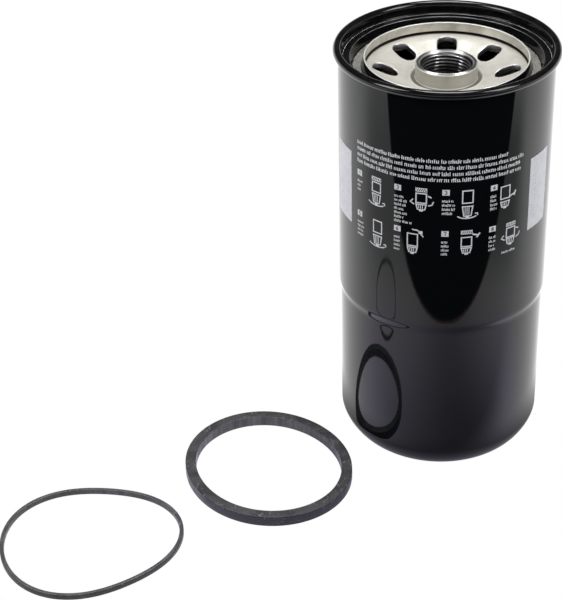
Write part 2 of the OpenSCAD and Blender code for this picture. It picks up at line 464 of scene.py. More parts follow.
class Effect:
    """A shader effect that finishes share. Each kind is a node group that is built at its first use."""

    name = ""
    inputs: tuple[str, ...] = ("Size",)
    output = "Height"
    levels: Span = (0.0, 1.0)
    made: dict[str, bpy.types.NodeTree] = {}

    @classmethod
    def recipe(cls, inner: Nodes, given: Sockets) -> Socket:
        """Fills the group from its inputs. The result is 0 at the kind's first level and 1 at its second."""
        raise NotImplementedError

    @classmethod
    def on(cls, nodes: Nodes, *values: float) -> Socket:
        """Places the effect in a material.

        Args:
            nodes: the material's nodes.
            *values: values for the group's inputs, in their order.

        Returns:
            The effect's output.
        """
        if cls.name not in cls.made:
            tree = bpy.data.node_groups.new(cls.name, "ShaderNodeTree")
            for label in cls.inputs:
                tree.interface.new_socket(name=label, in_out="INPUT", socket_type="NodeSocketFloat")
            tree.interface.new_socket(name=cls.output, in_out="OUTPUT", socket_type="NodeSocketFloat")
            source = tree.nodes.new("NodeGroupInput")
            target = tree.nodes.new("NodeGroupOutput")
            inner = Nodes(tree)
            raw = cls.recipe(inner, {label: source.outputs[label] for label in cls.inputs})
            tree.links.new(inner.ramp(raw, *cls.levels), target.inputs[cls.output])
            cls.made[cls.name] = tree
        feeds = dict(zip(cls.inputs, values))
        return nodes.add("Group", {"node_tree": cls.made[cls.name]}, **feeds).outputs[0]


class FineGrain(Effect):
    """Fine pitted grain of a size in millimetres, as on moulded, plated and cast surfaces."""

    name = Relief.GRAIN.value
    levels = (0.3, 0.7)

    @classmethod
    def recipe(cls, inner: Nodes, given: Sockets) -> Socket:
        """Fills the group with fine noise."""
        return inner.noise(inner.place()[0], inner.per_metre(given["Size"]), 4.0)


class TurningMarks(Effect):
    """Fine rings round the axis at a mean spacing in millimetres, as turning and pressing leave them."""

    name = Relief.TURNED.value
    levels = (0.25, 0.75)
    drift = 0.4
    drift_cells = 60.0

    @classmethod
    def recipe(cls, inner: Nodes, given: Sockets) -> Socket:
        """Fills the group with noise that changes with the radius and the height only.

        Args:
            inner: the group's nodes.
            given: its inputs, by name.

        Returns:
            The rings' height.
        """
        where, radius, height = inner.place()
        drift = inner.product(inner.noise(where, cls.drift_cells, 1.0), cls.drift * MM)
        along = inner.add("CombineXYZ", X=inner.maths("ADD", radius, drift), Y=height)
        return inner.noise(along.outputs[0], inner.per_metre(given["Size"]))


class Weave(Effect):
    """A plain weave round the axis, with its threads spaced in millimetres."""

    name = Relief.WOVEN.value
    levels = (-1.0, 1.0)

    @classmethod
    def recipe(cls, inner: Nodes, given: Sockets) -> Socket:
        """Fills the group with crossed waves round and along the axis.

        Args:
            inner: the group's nodes.
            given: its inputs, by name.

        Returns:
            The weave's height.
        """
        where, radius, height = inner.place()
        x, y, _ = inner.split(where)
        pitch = inner.maths("DIVIDE", math.pi / MM, given["Size"])
        runs = (inner.product(inner.maths("ARCTAN2", y, x), radius), height)
        waves = [inner.maths("SINE", inner.product(run, pitch)) for run in runs]
        return inner.product(*waves)


class Stains(Effect):
    """Soft blotches of a size in millimetres. The seed shifts them, so that two finishes differ."""

    name = "stains"
    inputs = ("Size", "Seed")
    output = "Mask"
    levels = (0.36, 0.66)

    @classmethod
    def recipe(cls, inner: Nodes, given: Sockets) -> Socket:
        """Fills the group with shifted noise.

        Args:
            inner: the group's nodes.
            given: its inputs, by name.

        Returns:
            The blotches.
        """
        shift = inner.add("CombineXYZ", X=given["Seed"], Z=given["Seed"]).outputs[0]
        moved = inner.vectors("ADD", inner.place()[0], shift)
        return inner.noise(moved, inner.per_metre(given["Size"]), 5.0)


class Scuffs(Effect):
    """Short rubbed streaks and flecks, spaced in millimetres, over a share of the surface."""

    name = "scuffs"
    inputs = ("Size", "Amount")
    output = "Mask"
    levels = (-0.06, 0.06)
    stretch = (1.0, 0.35, 1.6)
    streak_share = 0.7
    patch_share = 0.35
    patch_cells = 0.2
    none_at = 0.74
    drop = 0.22

    @classmethod
    def recipe(cls, inner: Nodes, given: Sockets) -> Socket:
        """Fills the group with streaks that gather in patches.

        Args:
            inner: the group's nodes.
            given: its inputs, by name.

        Returns:
            The streaks.
        """
        where = inner.place()[0]
        cells = inner.per_metre(given["Size"])
        stretched = inner.add("Mapping", Vector=where, Scale=cls.stretch).outputs[0]
        streak = inner.product(inner.noise(stretched, cells, 6.0), cls.streak_share)
        patch = inner.product(inner.noise(where, inner.product(cells, cls.patch_cells), 2.0), cls.patch_share)
        level = inner.maths("SUBTRACT", cls.none_at, inner.product(given["Amount"], cls.drop))
        return inner.maths("SUBTRACT", inner.maths("ADD", streak, patch), level)


class EdgeWear(Effect):
    """Edges rubbed over a width in millimetres."""

    name = "edge_wear"
    inputs = ("Reach",)
    output = "Mask"
    levels = (-0.04, 0.1)
    broken = 0.12
    broken_cells = 900.0

    @classmethod
    def recipe(cls, inner: Nodes, given: Sockets) -> Socket:
        """Fills the group with how far a rounded edge turns away from the real one.

        Args:
            inner: the group's nodes.
            given: its inputs, by name.

        Returns:
            The edges, broken up by noise.
        """
        soft = inner.add("Bevel", {"samples": 4}, Radius=inner.product(given["Reach"], MM))
        bent = inner.rest_of(inner.vectors("DOT_PRODUCT", soft.outputs[0], inner.normal()))
        broken = inner.product(inner.noise(inner.place()[0], cls.broken_cells), cls.broken)
        return inner.maths("SUBTRACT", bent, broken)


RELIEFS: dict[Relief, type[Effect]] = {
    Relief.GRAIN: FineGrain, Relief.TURNED: TurningMarks, Relief.WOVEN: Weave,
}


# ---------------------------------------------------------------- finishes


@dataclass(frozen=True)
class Finish:
    """A surface: its colours, gloss and relief, with stains, scuffs and worn edges over it, and dust with
    painted top light on faces that look up.
    """

    name: str
    colour: Colour
    shade: Colour
    blotch: float = 12.0
    metallic: float = 0.0
    gloss: Span = (0.35, 0.5)
    relief: Relief = Relief.GRAIN
    relief_size: float = 0.6
    relief_height: float = 0.01
    scuff_colour: Colour = (0.2, 0.2, 0.2)
    scuff_size: float = 2.0
    scuff_amount: float = 0.0
    wear_colour: Colour = (0.6, 0.6, 0.6)
    wear_reach: float = 0.0
    # dust with painted top light: a lighter colour on faces that look up, so tops read brighter than sides
    top_light_and_dust: Colour | None = None
    top_light_facing: Span = (0.45, 0.95)
    top_light_share: Span = (0.6, 1.0)

    def surface(self, nodes: Nodes) -> Sockets:
        """Makes the parts of the surface that change from place to place.

        Args:
            nodes: the material's nodes.

        Returns:
            Sockets for the Principled node's inputs, by name.
        """
        blotches = Stains.on(nodes, self.blotch, float(len(self.name)))
        colour = nodes.blend(blotches, self.colour, self.shade)
        gloss = nodes.between(blotches, *self.gloss)
        # painted top light with dust: faces that look up turn lighter
        if self.top_light_and_dust:
            upwards = nodes.split(nodes.normal())[2]
            lit_and_dusty = nodes.product(nodes.ramp(upwards, *self.top_light_facing),
                                  nodes.between(blotches, *self.top_light_share))
            colour = nodes.blend(lit_and_dusty, colour, self.top_light_and_dust)
        if self.scuff_amount:
            rubbed = Scuffs.on(nodes, self.scuff_size, self.scuff_amount)
            colour = nodes.blend(rubbed, colour, self.scuff_colour)
            gloss = nodes.between(rubbed, gloss, self.gloss[1])
        if self.wear_reach:
            colour = nodes.blend(EdgeWear.on(nodes, self.wear_reach), colour, self.wear_colour)
        return {"Base Color": colour, "Roughness": gloss}

    def material(self) -> bpy.types.Material:
        """Builds the finish's material.

        Returns:
            The material.
        """
        made = bpy.data.materials.new(self.name)
        nodes = Nodes.fresh(made)
        relief = RELIEFS[self.relief].on(nodes, self.relief_size)
        bump = nodes.add("Bump", Strength=1.0, Distance=self.relief_height * MM, Height=relief)
        shader = nodes.add("BsdfPrincipled", Normal=bump.outputs[0], Metallic=self.metallic)
        for name, socket in self.surface(nodes).items():
            nodes.feed(shader.inputs[name], socket)
        nodes.add("OutputMaterial", Surface=shader.outputs[0])
        return made


@dataclass(frozen=True)
class CoverFinish(Finish):
    """Black paint outside the gasket groove, bare zinc inside it, and overspray between them, with painted
    highlights: thin light rings on the ledge's edges and a light line on the lip's top.
    """

    zinc: Colour = (0.66, 0.64, 0.58)
    zinc_shade: Colour = (0.5, 0.48, 0.43)
    zinc_gloss: float = 0.42
    zinc_metal: float = 0.55
    ragged: float = 1.2
    ragged_cells: float = 500.0
    paint_edge: float = 46.4
    lip_outside: float = 40.8
    lip_inside: float = 41.5
    lip_foot: float = 42.4
    lip_top: float = 218.65
    # painted highlight: the near white of the lip's thin top edge
    lip_highlight: Colour = (0.96, 0.96, 0.93)
    mist: float = 0.6
    mist_cells: float = 2200.0
    flecks: Span = (0.52, 0.6)
    ledge_z: float = 218.6
    # painted highlight: thin light rings where the ledge's edges catch the light
    highlight_rings: Span = (47.95, 51.35)
    crest: Colour = (0.55, 0.55, 0.54)
    highlight_half: float = 0.13
    highlight_breakup: Span = (1.0, 0.4)

    def paint_mask(self, nodes: Nodes) -> Socket:
        """Finds where the black covers the zinc: paint outside a ragged edge and in a mist, and the lip's
        outer face.

        Args:
            nodes: the material's nodes.

        Returns:
            The paint's mask.
        """
        where, radius, _ = nodes.place()
        cloud = nodes.maths("SUBTRACT", nodes.noise(where, self.ragged_cells, 4.0), 0.5)
        drift = nodes.product(cloud, self.ragged * MM)
        spread = nodes.maths("ADD", radius, drift)
        outer = nodes.edge(spread, self.paint_edge, (-0.15, 0.25))
        # the lip's outer face takes the paint's black
        lip = nodes.product(nodes.edge(radius, self.lip_outside, (-0.1, 0.0)),
                            nodes.edge(spread, self.lip_foot, (0.3, -0.2)))
        flecks = nodes.ramp(nodes.noise(where, self.mist_cells, 5.0), *self.flecks)
        mist = nodes.product(flecks, nodes.ramp(radius, self.lip_outside * MM, self.lip_foot * MM), self.mist)
        return nodes.greatest(mist, lip, outer)

    def surface(self, nodes: Nodes) -> Sockets:
        """Makes the painted and the bare zones, with the painted highlights on the ledge and the lip.

        Args:
            nodes: the material's nodes.

        Returns:
            Sockets for the Principled node's inputs, by name.
        """
        _, radius, height = nodes.place()
        blotches = Stains.on(nodes, self.blotch, 3.0)
        bare = nodes.blend(blotches, self.zinc, self.zinc_shade)
        paint = nodes.blend(blotches, self.colour, self.shade)
        # painted highlight rings on the ledge's edges, broken up by the blotches
        highlight_on_ledge = nodes.product(nodes.edge(height, self.ledge_z, (0.0, 0.2)),
                                 nodes.between(blotches, *self.highlight_breakup))
        for middle in self.highlight_rings:
            ring = nodes.maths("COMPARE", radius, middle * MM)
            ring.node.inputs[2].default_value = self.highlight_half * MM
            paint = nodes.blend(nodes.product(ring, highlight_on_ledge), paint, self.crest)
        # painted highlight: the lip's top edge turns near white and drops the paint
        lip_top_highlight = nodes.product(nodes.edge(height, self.lip_top, (0.0, 0.2)),
                               nodes.edge(radius, self.lip_inside, (0.3, 0.0)))
        painted = nodes.product(self.paint_mask(nodes), nodes.rest_of(lip_top_highlight))
        bare = nodes.blend(lip_top_highlight, bare, self.lip_highlight)
        return {
            "Base Color": nodes.blend(painted, bare, paint),
            "Roughness": nodes.between(painted, self.zinc_gloss, nodes.between(blotches, *self.gloss)),
            "Metallic": nodes.between(painted, self.zinc_metal, 0.0),
        }


@dataclass(frozen=True)
class PlateFinish(Finish):
    """Matt zinc plating, with bare cut steel in the thread and on the collar's mouth, painted shade with
    grime in the hollows and gaps, painted shade on the collar's side and a painted highlight round the
    trough.
    """

    steel: Colour = (0.62, 0.62, 0.66)
    steel_gloss: float = 0.3
    # painted shade with some grime: the dark brown of the trough, the thread's roots, the deep bore and the
    # gap under the lip
    shade_and_grime: Colour = (0.05, 0.042, 0.032)
    spangle: float = 0.25
    spangle_cells: float = 1500.0
    spangle_levels: Span = (0.35, 0.65)
    collar_r: float = 15.5
    # painted shade: the collar's upright side darker than the faces that look up
    collar_painted_shade: Colour = (0.34, 0.32, 0.28)
    collar_shade_share: float = 0.75
    thread_r: float = 13.3
    root_r: float = 12.15
    root_shade: float = 0.93
    mouth_z: float = 215.2
    thread_low: float = 211.0
    deep_h: float = 4.0
    trough: Span = (15.75, 17.6)
    trough_shade_and_grime: float = 0.75
    # painted highlight: a light ring on the trough's outer edge
    trough_highlight: Span = (18.0, 18.7)
    crest: Colour = (0.95, 0.94, 0.9)
    trough_highlight_share: float = 0.7
    punched: Span = (23.2, 38.6)
    steep: Span = (0.84, 0.5)
    upright: Span = (0.5, 0.2)
    plate_r: float = 40.2

    def surface(self, nodes: Nodes) -> Sockets:
        """Makes the plated and the cut zones, the painted shade with grime, and the painted highlight.

        Args:
            nodes: the material's nodes.

        Returns:
            Sockets for the Principled node's inputs, by name.
        """
        where, radius, height = nodes.place()
        plated = super().surface(nodes)
        spangle = nodes.ramp(nodes.noise(where, self.spangle_cells, 2.0), *self.spangle_levels)
        colour = nodes.blend(nodes.product(spangle, self.spangle), plated["Base Color"], self.wear_colour)
        facing = nodes.split(nodes.normal())[2]
        walls = nodes.product(nodes.ramp(facing, *self.steep), nodes.band(radius, *self.punched))
        thread = nodes.edge(radius, self.thread_r, (0.1, -0.1))
        mouth = nodes.product(nodes.edge(height, self.mouth_z, (-0.1, 0.1)),
                              nodes.edge(radius, self.collar_r, (0.2, 0.0)))
        cut = nodes.greatest(thread, mouth, walls)
        # painted shade in the thread's roots and deeper in the bore; painted shade with grime in the trough
        # and at the plate's edge under the lip
        roots = nodes.product(nodes.band(radius, self.root_r, self.thread_r - 0.2),
                              nodes.edge(height, self.mouth_z, (-0.2, -0.8)))
        deep = nodes.product(thread, nodes.edge(height, self.thread_low, (0.0, -self.deep_h)))
        shade_and_grime_mask = nodes.greatest(nodes.product(nodes.band(radius, *self.trough), self.trough_shade_and_grime),
                              nodes.edge(radius, self.plate_r, (-0.3, 0.3)),
                              nodes.product(nodes.greatest(roots, deep), self.root_shade))
        # painted highlight on the trough's outer edge
        crest = nodes.product(nodes.band(radius, *self.trough_highlight), self.trough_highlight_share)
        colour = nodes.blend(crest, colour, self.crest)
        # painted shade on the collar's upright side
        side = nodes.product(nodes.ramp(facing, *self.upright),
                             nodes.band(radius, self.collar_r - 0.3, self.collar_r + 0.3), self.collar_shade_share)
        colour = nodes.blend(side, colour, self.collar_painted_shade)
        return {
            "Base Color": nodes.blend(shade_and_grime_mask, nodes.blend(cut, colour, self.steel), self.shade_and_grime),
            "Roughness": nodes.between(cut, plated["Roughness"], self.steel_gloss),
            "Metallic": nodes.between(cut, self.metallic, 1.0),
        }


@dataclass(frozen=True)
class RubberFinish(Finish):
    """Rubber of a ring, with a painted highlight in upright streaks on its inner wall."""

    centre: Flat = (0.0, 0.0)
    # painted highlight: pale upright streaks on the ring's inner wall
    inner_wall_highlight: Colour = (0.22, 0.21, 0.24)
    streaks: tuple[float, float, float] = (1.0, 1.0, 0.08)
    streak_cells: float = 420.0
    streak_levels: Span = (0.2, 0.8)
    inner_wall: Span = (0.5, 0.9)
    patch: float = 30.0
    patch_share: Span = (0.35, 1.0)

    def surface(self, nodes: Nodes) -> Sockets:
        """Makes the rubber and the painted highlight on its inner wall.

        Args:
            nodes: the material's nodes.

        Returns:
            Sockets for the Principled node's inputs, by name.
        """
        rubber = super().surface(nodes)
        where = nodes.place()[0]
        level = nodes.vectors("MULTIPLY", where, (1.0, 1.0, 0.0))
        middle = (self.centre[0] * MM, self.centre[1] * MM, 0.0)
        inwards = nodes.vectors("NORMALIZE", nodes.vectors("SUBTRACT", middle, level))
        facing = nodes.vectors("DOT_PRODUCT", inwards, nodes.normal())
        stretched = nodes.add("Mapping", Vector=where, Scale=self.streaks).outputs[0]
        streak = nodes.ramp(nodes.noise(stretched, self.streak_cells, 5.0), *self.streak_levels)
        patches = nodes.between(Stains.on(nodes, self.patch, 2.0), *self.patch_share)
        # painted highlight streaks on the faces that look in towards the ring's middle
        share = nodes.product(nodes.ramp(facing, *self.inner_wall), streak, patches)
        rubber["Base Color"] = nodes.blend(share, rubber["Base Color"], self.inner_wall_highlight)
        return rubber


class Finishes:
    """Every finish of the object, made once each."""

    BLACK = Finish("black_enamel", (0.0030, 0.0042, 0.0050), (0.0036, 0.0045, 0.0052), blotch=40.0,
                   gloss=(0.035, 0.06), relief_size=2.2, relief_height=0.0012)
    COVER = CoverFinish("cover_enamel", (0.0034, 0.0036, 0.004), (0.007, 0.007, 0.0075), blotch=6.0,
                        gloss=(0.06, 0.16), relief=Relief.TURNED, relief_size=0.8, relief_height=0.004)
    PRINT = Finish("print_white", (0.94, 0.95, 0.98), (0.84, 0.85, 0.9), blotch=3.0, gloss=(0.3, 0.42),
                   relief_size=0.25, relief_height=0.003)
    LABEL = Finish("label_grey", (0.82, 0.82, 0.89), (0.77, 0.77, 0.84), blotch=3.0, gloss=(0.3, 0.42),
                   relief_size=0.25, relief_height=0.003)
    FAINT = Finish("faint_ink", (0.42, 0.43, 0.47), (0.55, 0.56, 0.6), blotch=1.0, gloss=(0.4, 0.5),
                   relief_size=0.25, relief_height=0.002)
    ZINC = PlateFinish("zinc_plate", (0.72, 0.7, 0.635), (0.6, 0.58, 0.51), blotch=7.0, metallic=0.35,
                       gloss=(0.38, 0.52), relief_size=0.5, relief_height=0.006,
                       wear_colour=(0.8, 0.79, 0.75), wear_reach=0.5)
    PORT = Finish("port_steel", (0.5, 0.5, 0.49), (0.4, 0.39, 0.36), blotch=9.0, metallic=1.0,
                  gloss=(0.22, 0.36), relief=Relief.TURNED, relief_size=0.25, relief_height=0.006,
                  wear_colour=(0.7, 0.7, 0.7), wear_reach=0.4)
    TIN = Finish("tinplate", (0.62, 0.6, 0.54), (0.5, 0.47, 0.4), blotch=10.0, metallic=1.0,
                 gloss=(0.25, 0.42), relief=Relief.TURNED, relief_size=0.7, relief_height=0.004,
                 wear_colour=(0.75, 0.74, 0.7), wear_reach=0.4)
    SPRING = Finish("spring_steel", (0.2, 0.2, 0.22), (0.11, 0.1, 0.1), blotch=5.0, metallic=1.0,
                    gloss=(0.22, 0.4), relief_size=0.35, relief_height=0.006)
    CORE = Finish("core_steel", (0.52, 0.52, 0.5), (0.42, 0.4, 0.36), blotch=8.0, metallic=1.0,
                  gloss=(0.28, 0.45), relief_size=0.4, relief_height=0.005,
                  wear_colour=(0.7, 0.7, 0.68), wear_reach=0.3)
    RESIN = Finish("potting_resin", (0.2, 0.15, 0.1), (0.28, 0.22, 0.15), blotch=6.0, gloss=(0.3, 0.5),
                   relief_size=1.6, relief_height=0.05)
    PAPER = Finish("filter_paper", (0.7, 0.53, 0.27), (0.6, 0.42, 0.19), blotch=9.0, gloss=(0.75, 0.9),
                   relief_size=0.3, relief_height=0.03, scuff_colour=(0.78, 0.64, 0.4), scuff_size=1.5,
                   scuff_amount=0.4)
    GLUE = Finish("glue_bead", (0.78, 0.7, 0.48), (0.66, 0.56, 0.34), blotch=4.0, gloss=(0.2, 0.35),
                  relief_size=1.2, relief_height=0.04)
    CAGE = Finish("cage_plastic", (0.06, 0.11, 0.24), (0.08, 0.14, 0.28), blotch=8.0, gloss=(0.35, 0.48),
                  relief_size=0.3, relief_height=0.01)
    MESH = Finish("screen_mesh", (0.75, 0.75, 0.7), (0.62, 0.62, 0.58), blotch=5.0, gloss=(0.5, 0.65),
                  relief=Relief.WOVEN, relief_size=0.35, relief_height=0.08)
    SEALANT = Finish("seam_sealant", (0.5, 0.45, 0.36), (0.42, 0.37, 0.28), blotch=3.0, gloss=(0.5, 0.7),
                     relief_size=0.5, relief_height=0.03)
    NECK = Finish("seal_rubber", (0.03, 0.03, 0.03), (0.042, 0.042, 0.043), blotch=6.0, gloss=(0.45, 0.6),
                  relief_size=0.25, relief_height=0.012)
    # the seals' lighter tops are dust with painted top light
    THICK_SEAL = RubberFinish("thick_seal_rubber", (0.02, 0.019, 0.024), (0.034, 0.033, 0.04), blotch=11.0,
                              gloss=(0.3, 0.5), relief_size=0.4, relief_height=0.03,
                              scuff_colour=(0.14, 0.14, 0.145), scuff_size=1.3, scuff_amount=0.5,
                              wear_colour=(0.1, 0.1, 0.105), wear_reach=0.4, top_light_and_dust=(0.074, 0.073, 0.077),
                              centre=(-89.7, -56.3))
    THIN_SEAL = RubberFinish("thin_seal_rubber", (0.03, 0.029, 0.033), (0.05, 0.049, 0.055), blotch=9.0,
                             gloss=(0.26, 0.45), relief_size=0.3, relief_height=0.02,
                             scuff_colour=(0.2, 0.2, 0.205), scuff_size=1.0, scuff_amount=0.4,
                             wear_colour=(0.16, 0.16, 0.165), wear_reach=0.3, top_light_and_dust=(0.11, 0.11, 0.115),
                             centre=(-175.8, -120.2), inner_wall_highlight=(0.14, 0.14, 0.15))

    made: dict[str, bpy.types.Material] = {}

    @classmethod
    def get(cls, finish: Finish) -> bpy.types.Material:
        """The material of a finish, made at its first use.

        Args:
            finish: the finish.

        Returns:
            Its material.
        """
        if finish.name not in cls.made:
            cls.made[finish.name] = finish.material()
        return cls.made[finish.name]


def dress(node: str, finish: Finish) -> None:
    """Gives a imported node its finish.

    Args:
        node: the node's name.
        finish: the finish.
    """
    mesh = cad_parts[node].data
    mesh.materials.clear()
    mesh.materials.append(Finishes.get(finish))
    log.info("%s keeps its shape, in %s", node, finish.name)


def install(piece: bpy.types.Object, body: Body, finish: Finish,
            instead_of: str | None = None) -> None:
    """Dresses a new piece and hangs it on its body.

    Args:
        piece: the piece.
        body: the body that it moves with.
        finish: its finish.
        instead_of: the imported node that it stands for, where there is one.
    """
    piece.data.materials.append(Finishes.get(finish))
    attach(piece, body.value)
    if instead_of:
        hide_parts(instead_of)
    log.info("%s rides on %s, %d faces, in %s", piece.name, body.value, len(piece.data.polygons), finish.name)


# ---------------------------------------------------------------- canister


@dataclass
class CanShell:
    """The deep drawn can: bowl flange, tall bottom corner, step and the bead in the top seam.

    The brace is how near to a bend the long walls have a point, which keeps their shading straight.
    """

    upper_r: float = 54.0
    lower_r: float = 53.1
    wall: float = 0.9
    corner_w: float = 11.0
    corner_h: float = 15.0
    corner_power: float = 1.35
    corner_steps: int = 24
    step_z: float = 90.0
    step_h: float = 3.0
    brace: float = 3.0
    seam_z: float = 222.6
    flange_r: float = 41.0
    flange_h: float = 13.0
    bead_at: Flat = (54.1, 223.2)
    bead_r: float = 0.8

    def side(self, inset: float) -> list[Flat]:
        """The side from the foot to the seam.

        Args:
            inset: how far inside the outer face.

        Returns:
            The side's outline, upwards.
        """
        foot_r = self.lower_r - self.corner_w
        corner = []
        for i in range(self.corner_steps + 1):
            share_out, share_down = (max(0.0, share) ** self.corner_power for share in
                                     polar(1.0, math.radians(90 - 90 / self.corner_steps * i)))
            corner.append((foot_r + (self.corner_w - inset) * share_out,
                           self.corner_h - (self.corner_h - inset) * share_down))
        step_top = self.step_z + self.step_h
        low_r, high_r = self.lower_r - inset, self.upper_r - inset
        step = rounded([
            Corner(low_r, self.corner_h + self.brace / 2), Corner(low_r, self.step_z - self.brace),
            Corner(low_r, self.step_z, 9), Corner(high_r, step_top, 8), Corner(high_r, step_top + self.brace),
            Corner(high_r, self.seam_z - self.brace / 2), Corner(high_r, self.seam_z)], closed=False)
        return corner + step

    def outline(self) -> list[Flat]:
        """The can's whole section.

        Returns:
            The closed outline.
        """
        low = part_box("can_shell")[0].z / MM
        flange = rounded([
            Corner(self.flange_r + self.wall, low + self.wall, 0.6),
            Corner(self.flange_r + self.wall, low + self.flange_h, 0.2),
            Corner(self.flange_r, low + self.flange_h, 0.2), Corner(self.flange_r, low, 0.7),
            Corner(self.lower_r - self.corner_w, low)], closed=False)
        return self.side(0) + arc(self.bead_at, self.bead_r, -50, 230) + self.side(self.wall)[::-1] + flange

    def build(self) -> None:
        """Makes the can."""
        draft = MeshDraft()
        draft.lathe(self.outline(), FINE_TURN)
        install(draft.make("painted_can"), Body.CANISTER, Finishes.BLACK, "can_shell")


@dataclass
class SeamCover:
    """The stamped cover: rolled rim, ledge, step wall, gasket groove and the thin lip."""

    roll_at: Flat = (54.1, 223.2)
    roll_r: float = 2.2
    hollow_r: float = 1.35
    ledge_z: float = 219.0
    groove_out: float = 47.0
    groove_in: float = 42.2
    groove_z: float = 213.7
    under_z: float = 212.9
    sheet: float = 0.8

    def outline(self) -> list[Flat]:
        """The sheet's section, from the rim's inner side down to the lip and back beneath.

        Returns:
            The closed outline.
        """
        flank = self.roll_at[0] - self.roll_r
        faces = rounded([
            Corner(flank, self.roll_at[1]), Corner(flank + 0.25, self.ledge_z + 0.3, 0.8),
            Corner(flank - 0.6, self.ledge_z, 0.7), Corner(self.groove_out + 1.0, self.ledge_z, 0.7),
            Corner(self.groove_out, self.groove_z, 0.7), Corner(self.groove_in, self.groove_z, 0.9),
            Corner(self.groove_in - 1.1, self.ledge_z, 0.3), Corner(self.groove_in - 1.9, self.ledge_z, 0.3),
            Corner(self.groove_in - 1.5, self.groove_z + 0.4, 1.2),
            Corner(self.groove_in - 0.3, self.under_z, 0.7),
            Corner(self.groove_out + self.sheet, self.under_z, 1.2),
            Corner(self.groove_out + 0.9 + self.sheet, self.ledge_z - self.sheet, 0.3),
            Corner(flank + 0.4, self.ledge_z - self.sheet, 1.2), Corner(flank + 1.0, self.ledge_z + 0.6, 0.8),
            Corner(flank + 1.0, self.roll_at[1] - 0.7)], closed=False)
        inner, outer = arc(self.roll_at, self.hollow_r, 200, -75), arc(self.roll_at, self.roll_r, -80.8, 175)
        return faces + inner + outer

    def build(self) -> None:
        """Makes the cover."""
        draft = MeshDraft()
        draft.lathe(self.outline(), FINE_TURN)
        install(draft.make("rolled_cover"), Body.CANISTER, Finishes.COVER, "seam_cover")
        dress("seam_compound", Finishes.SEALANT)


@dataclass
class Thread:
    """A right-hand internal thread, cut into a bore between two levels."""

    minor_r: float
    depth: float
    pitch: float
    top_z: float
    low_z: float
    mouth: float
    exit: float
    rows_per_turn: int = 12
    crest: float = 0.1
    flank: float = 0.78
    run_out: float = 0.2

    def radius(self, height: float, angle: float) -> float:
        """The bore's radius.

        Args:
            height: where along the axis.
            angle: where round it, in radians.

        Returns:
            The radius there.
        """
        phase = (height / self.pitch - angle / math.tau) % 1.0
        ridge = min(1.0, max(0.0, (abs(2 * phase - 1) - self.crest) / self.flank))
        fade = smooth_step(height, self.low_z, self.low_z + self.pitch)
        fade *= smooth_step(self.top_z - height, 0.0, self.run_out)
        cut = self.minor_r + self.depth * ridge * fade
        chamfers = max(height - self.top_z + self.mouth, self.low_z + self.exit - height)
        return max(cut, self.minor_r + chamfers)

    def add_to(self, draft: MeshDraft, segments: int) -> None:
        """Adds the thread's surface to a piece.

        Args:
            draft: the piece.
            segments: how many steps make the full turn.
        """
        count = round((self.top_z - self.low_z) / self.pitch * self.rows_per_turn)
        turns = full_turn(segments)
        rows = []
        for i in range(count + 1):
            height = self.top_z + (self.low_z - self.top_z) * i / count
            radii = [self.radius(height, a) for a in turns]
            rows.append([(*polar(r, a), height) for r, a in zip(radii, turns)])
        draft.grid(rows, wrap_points=True)


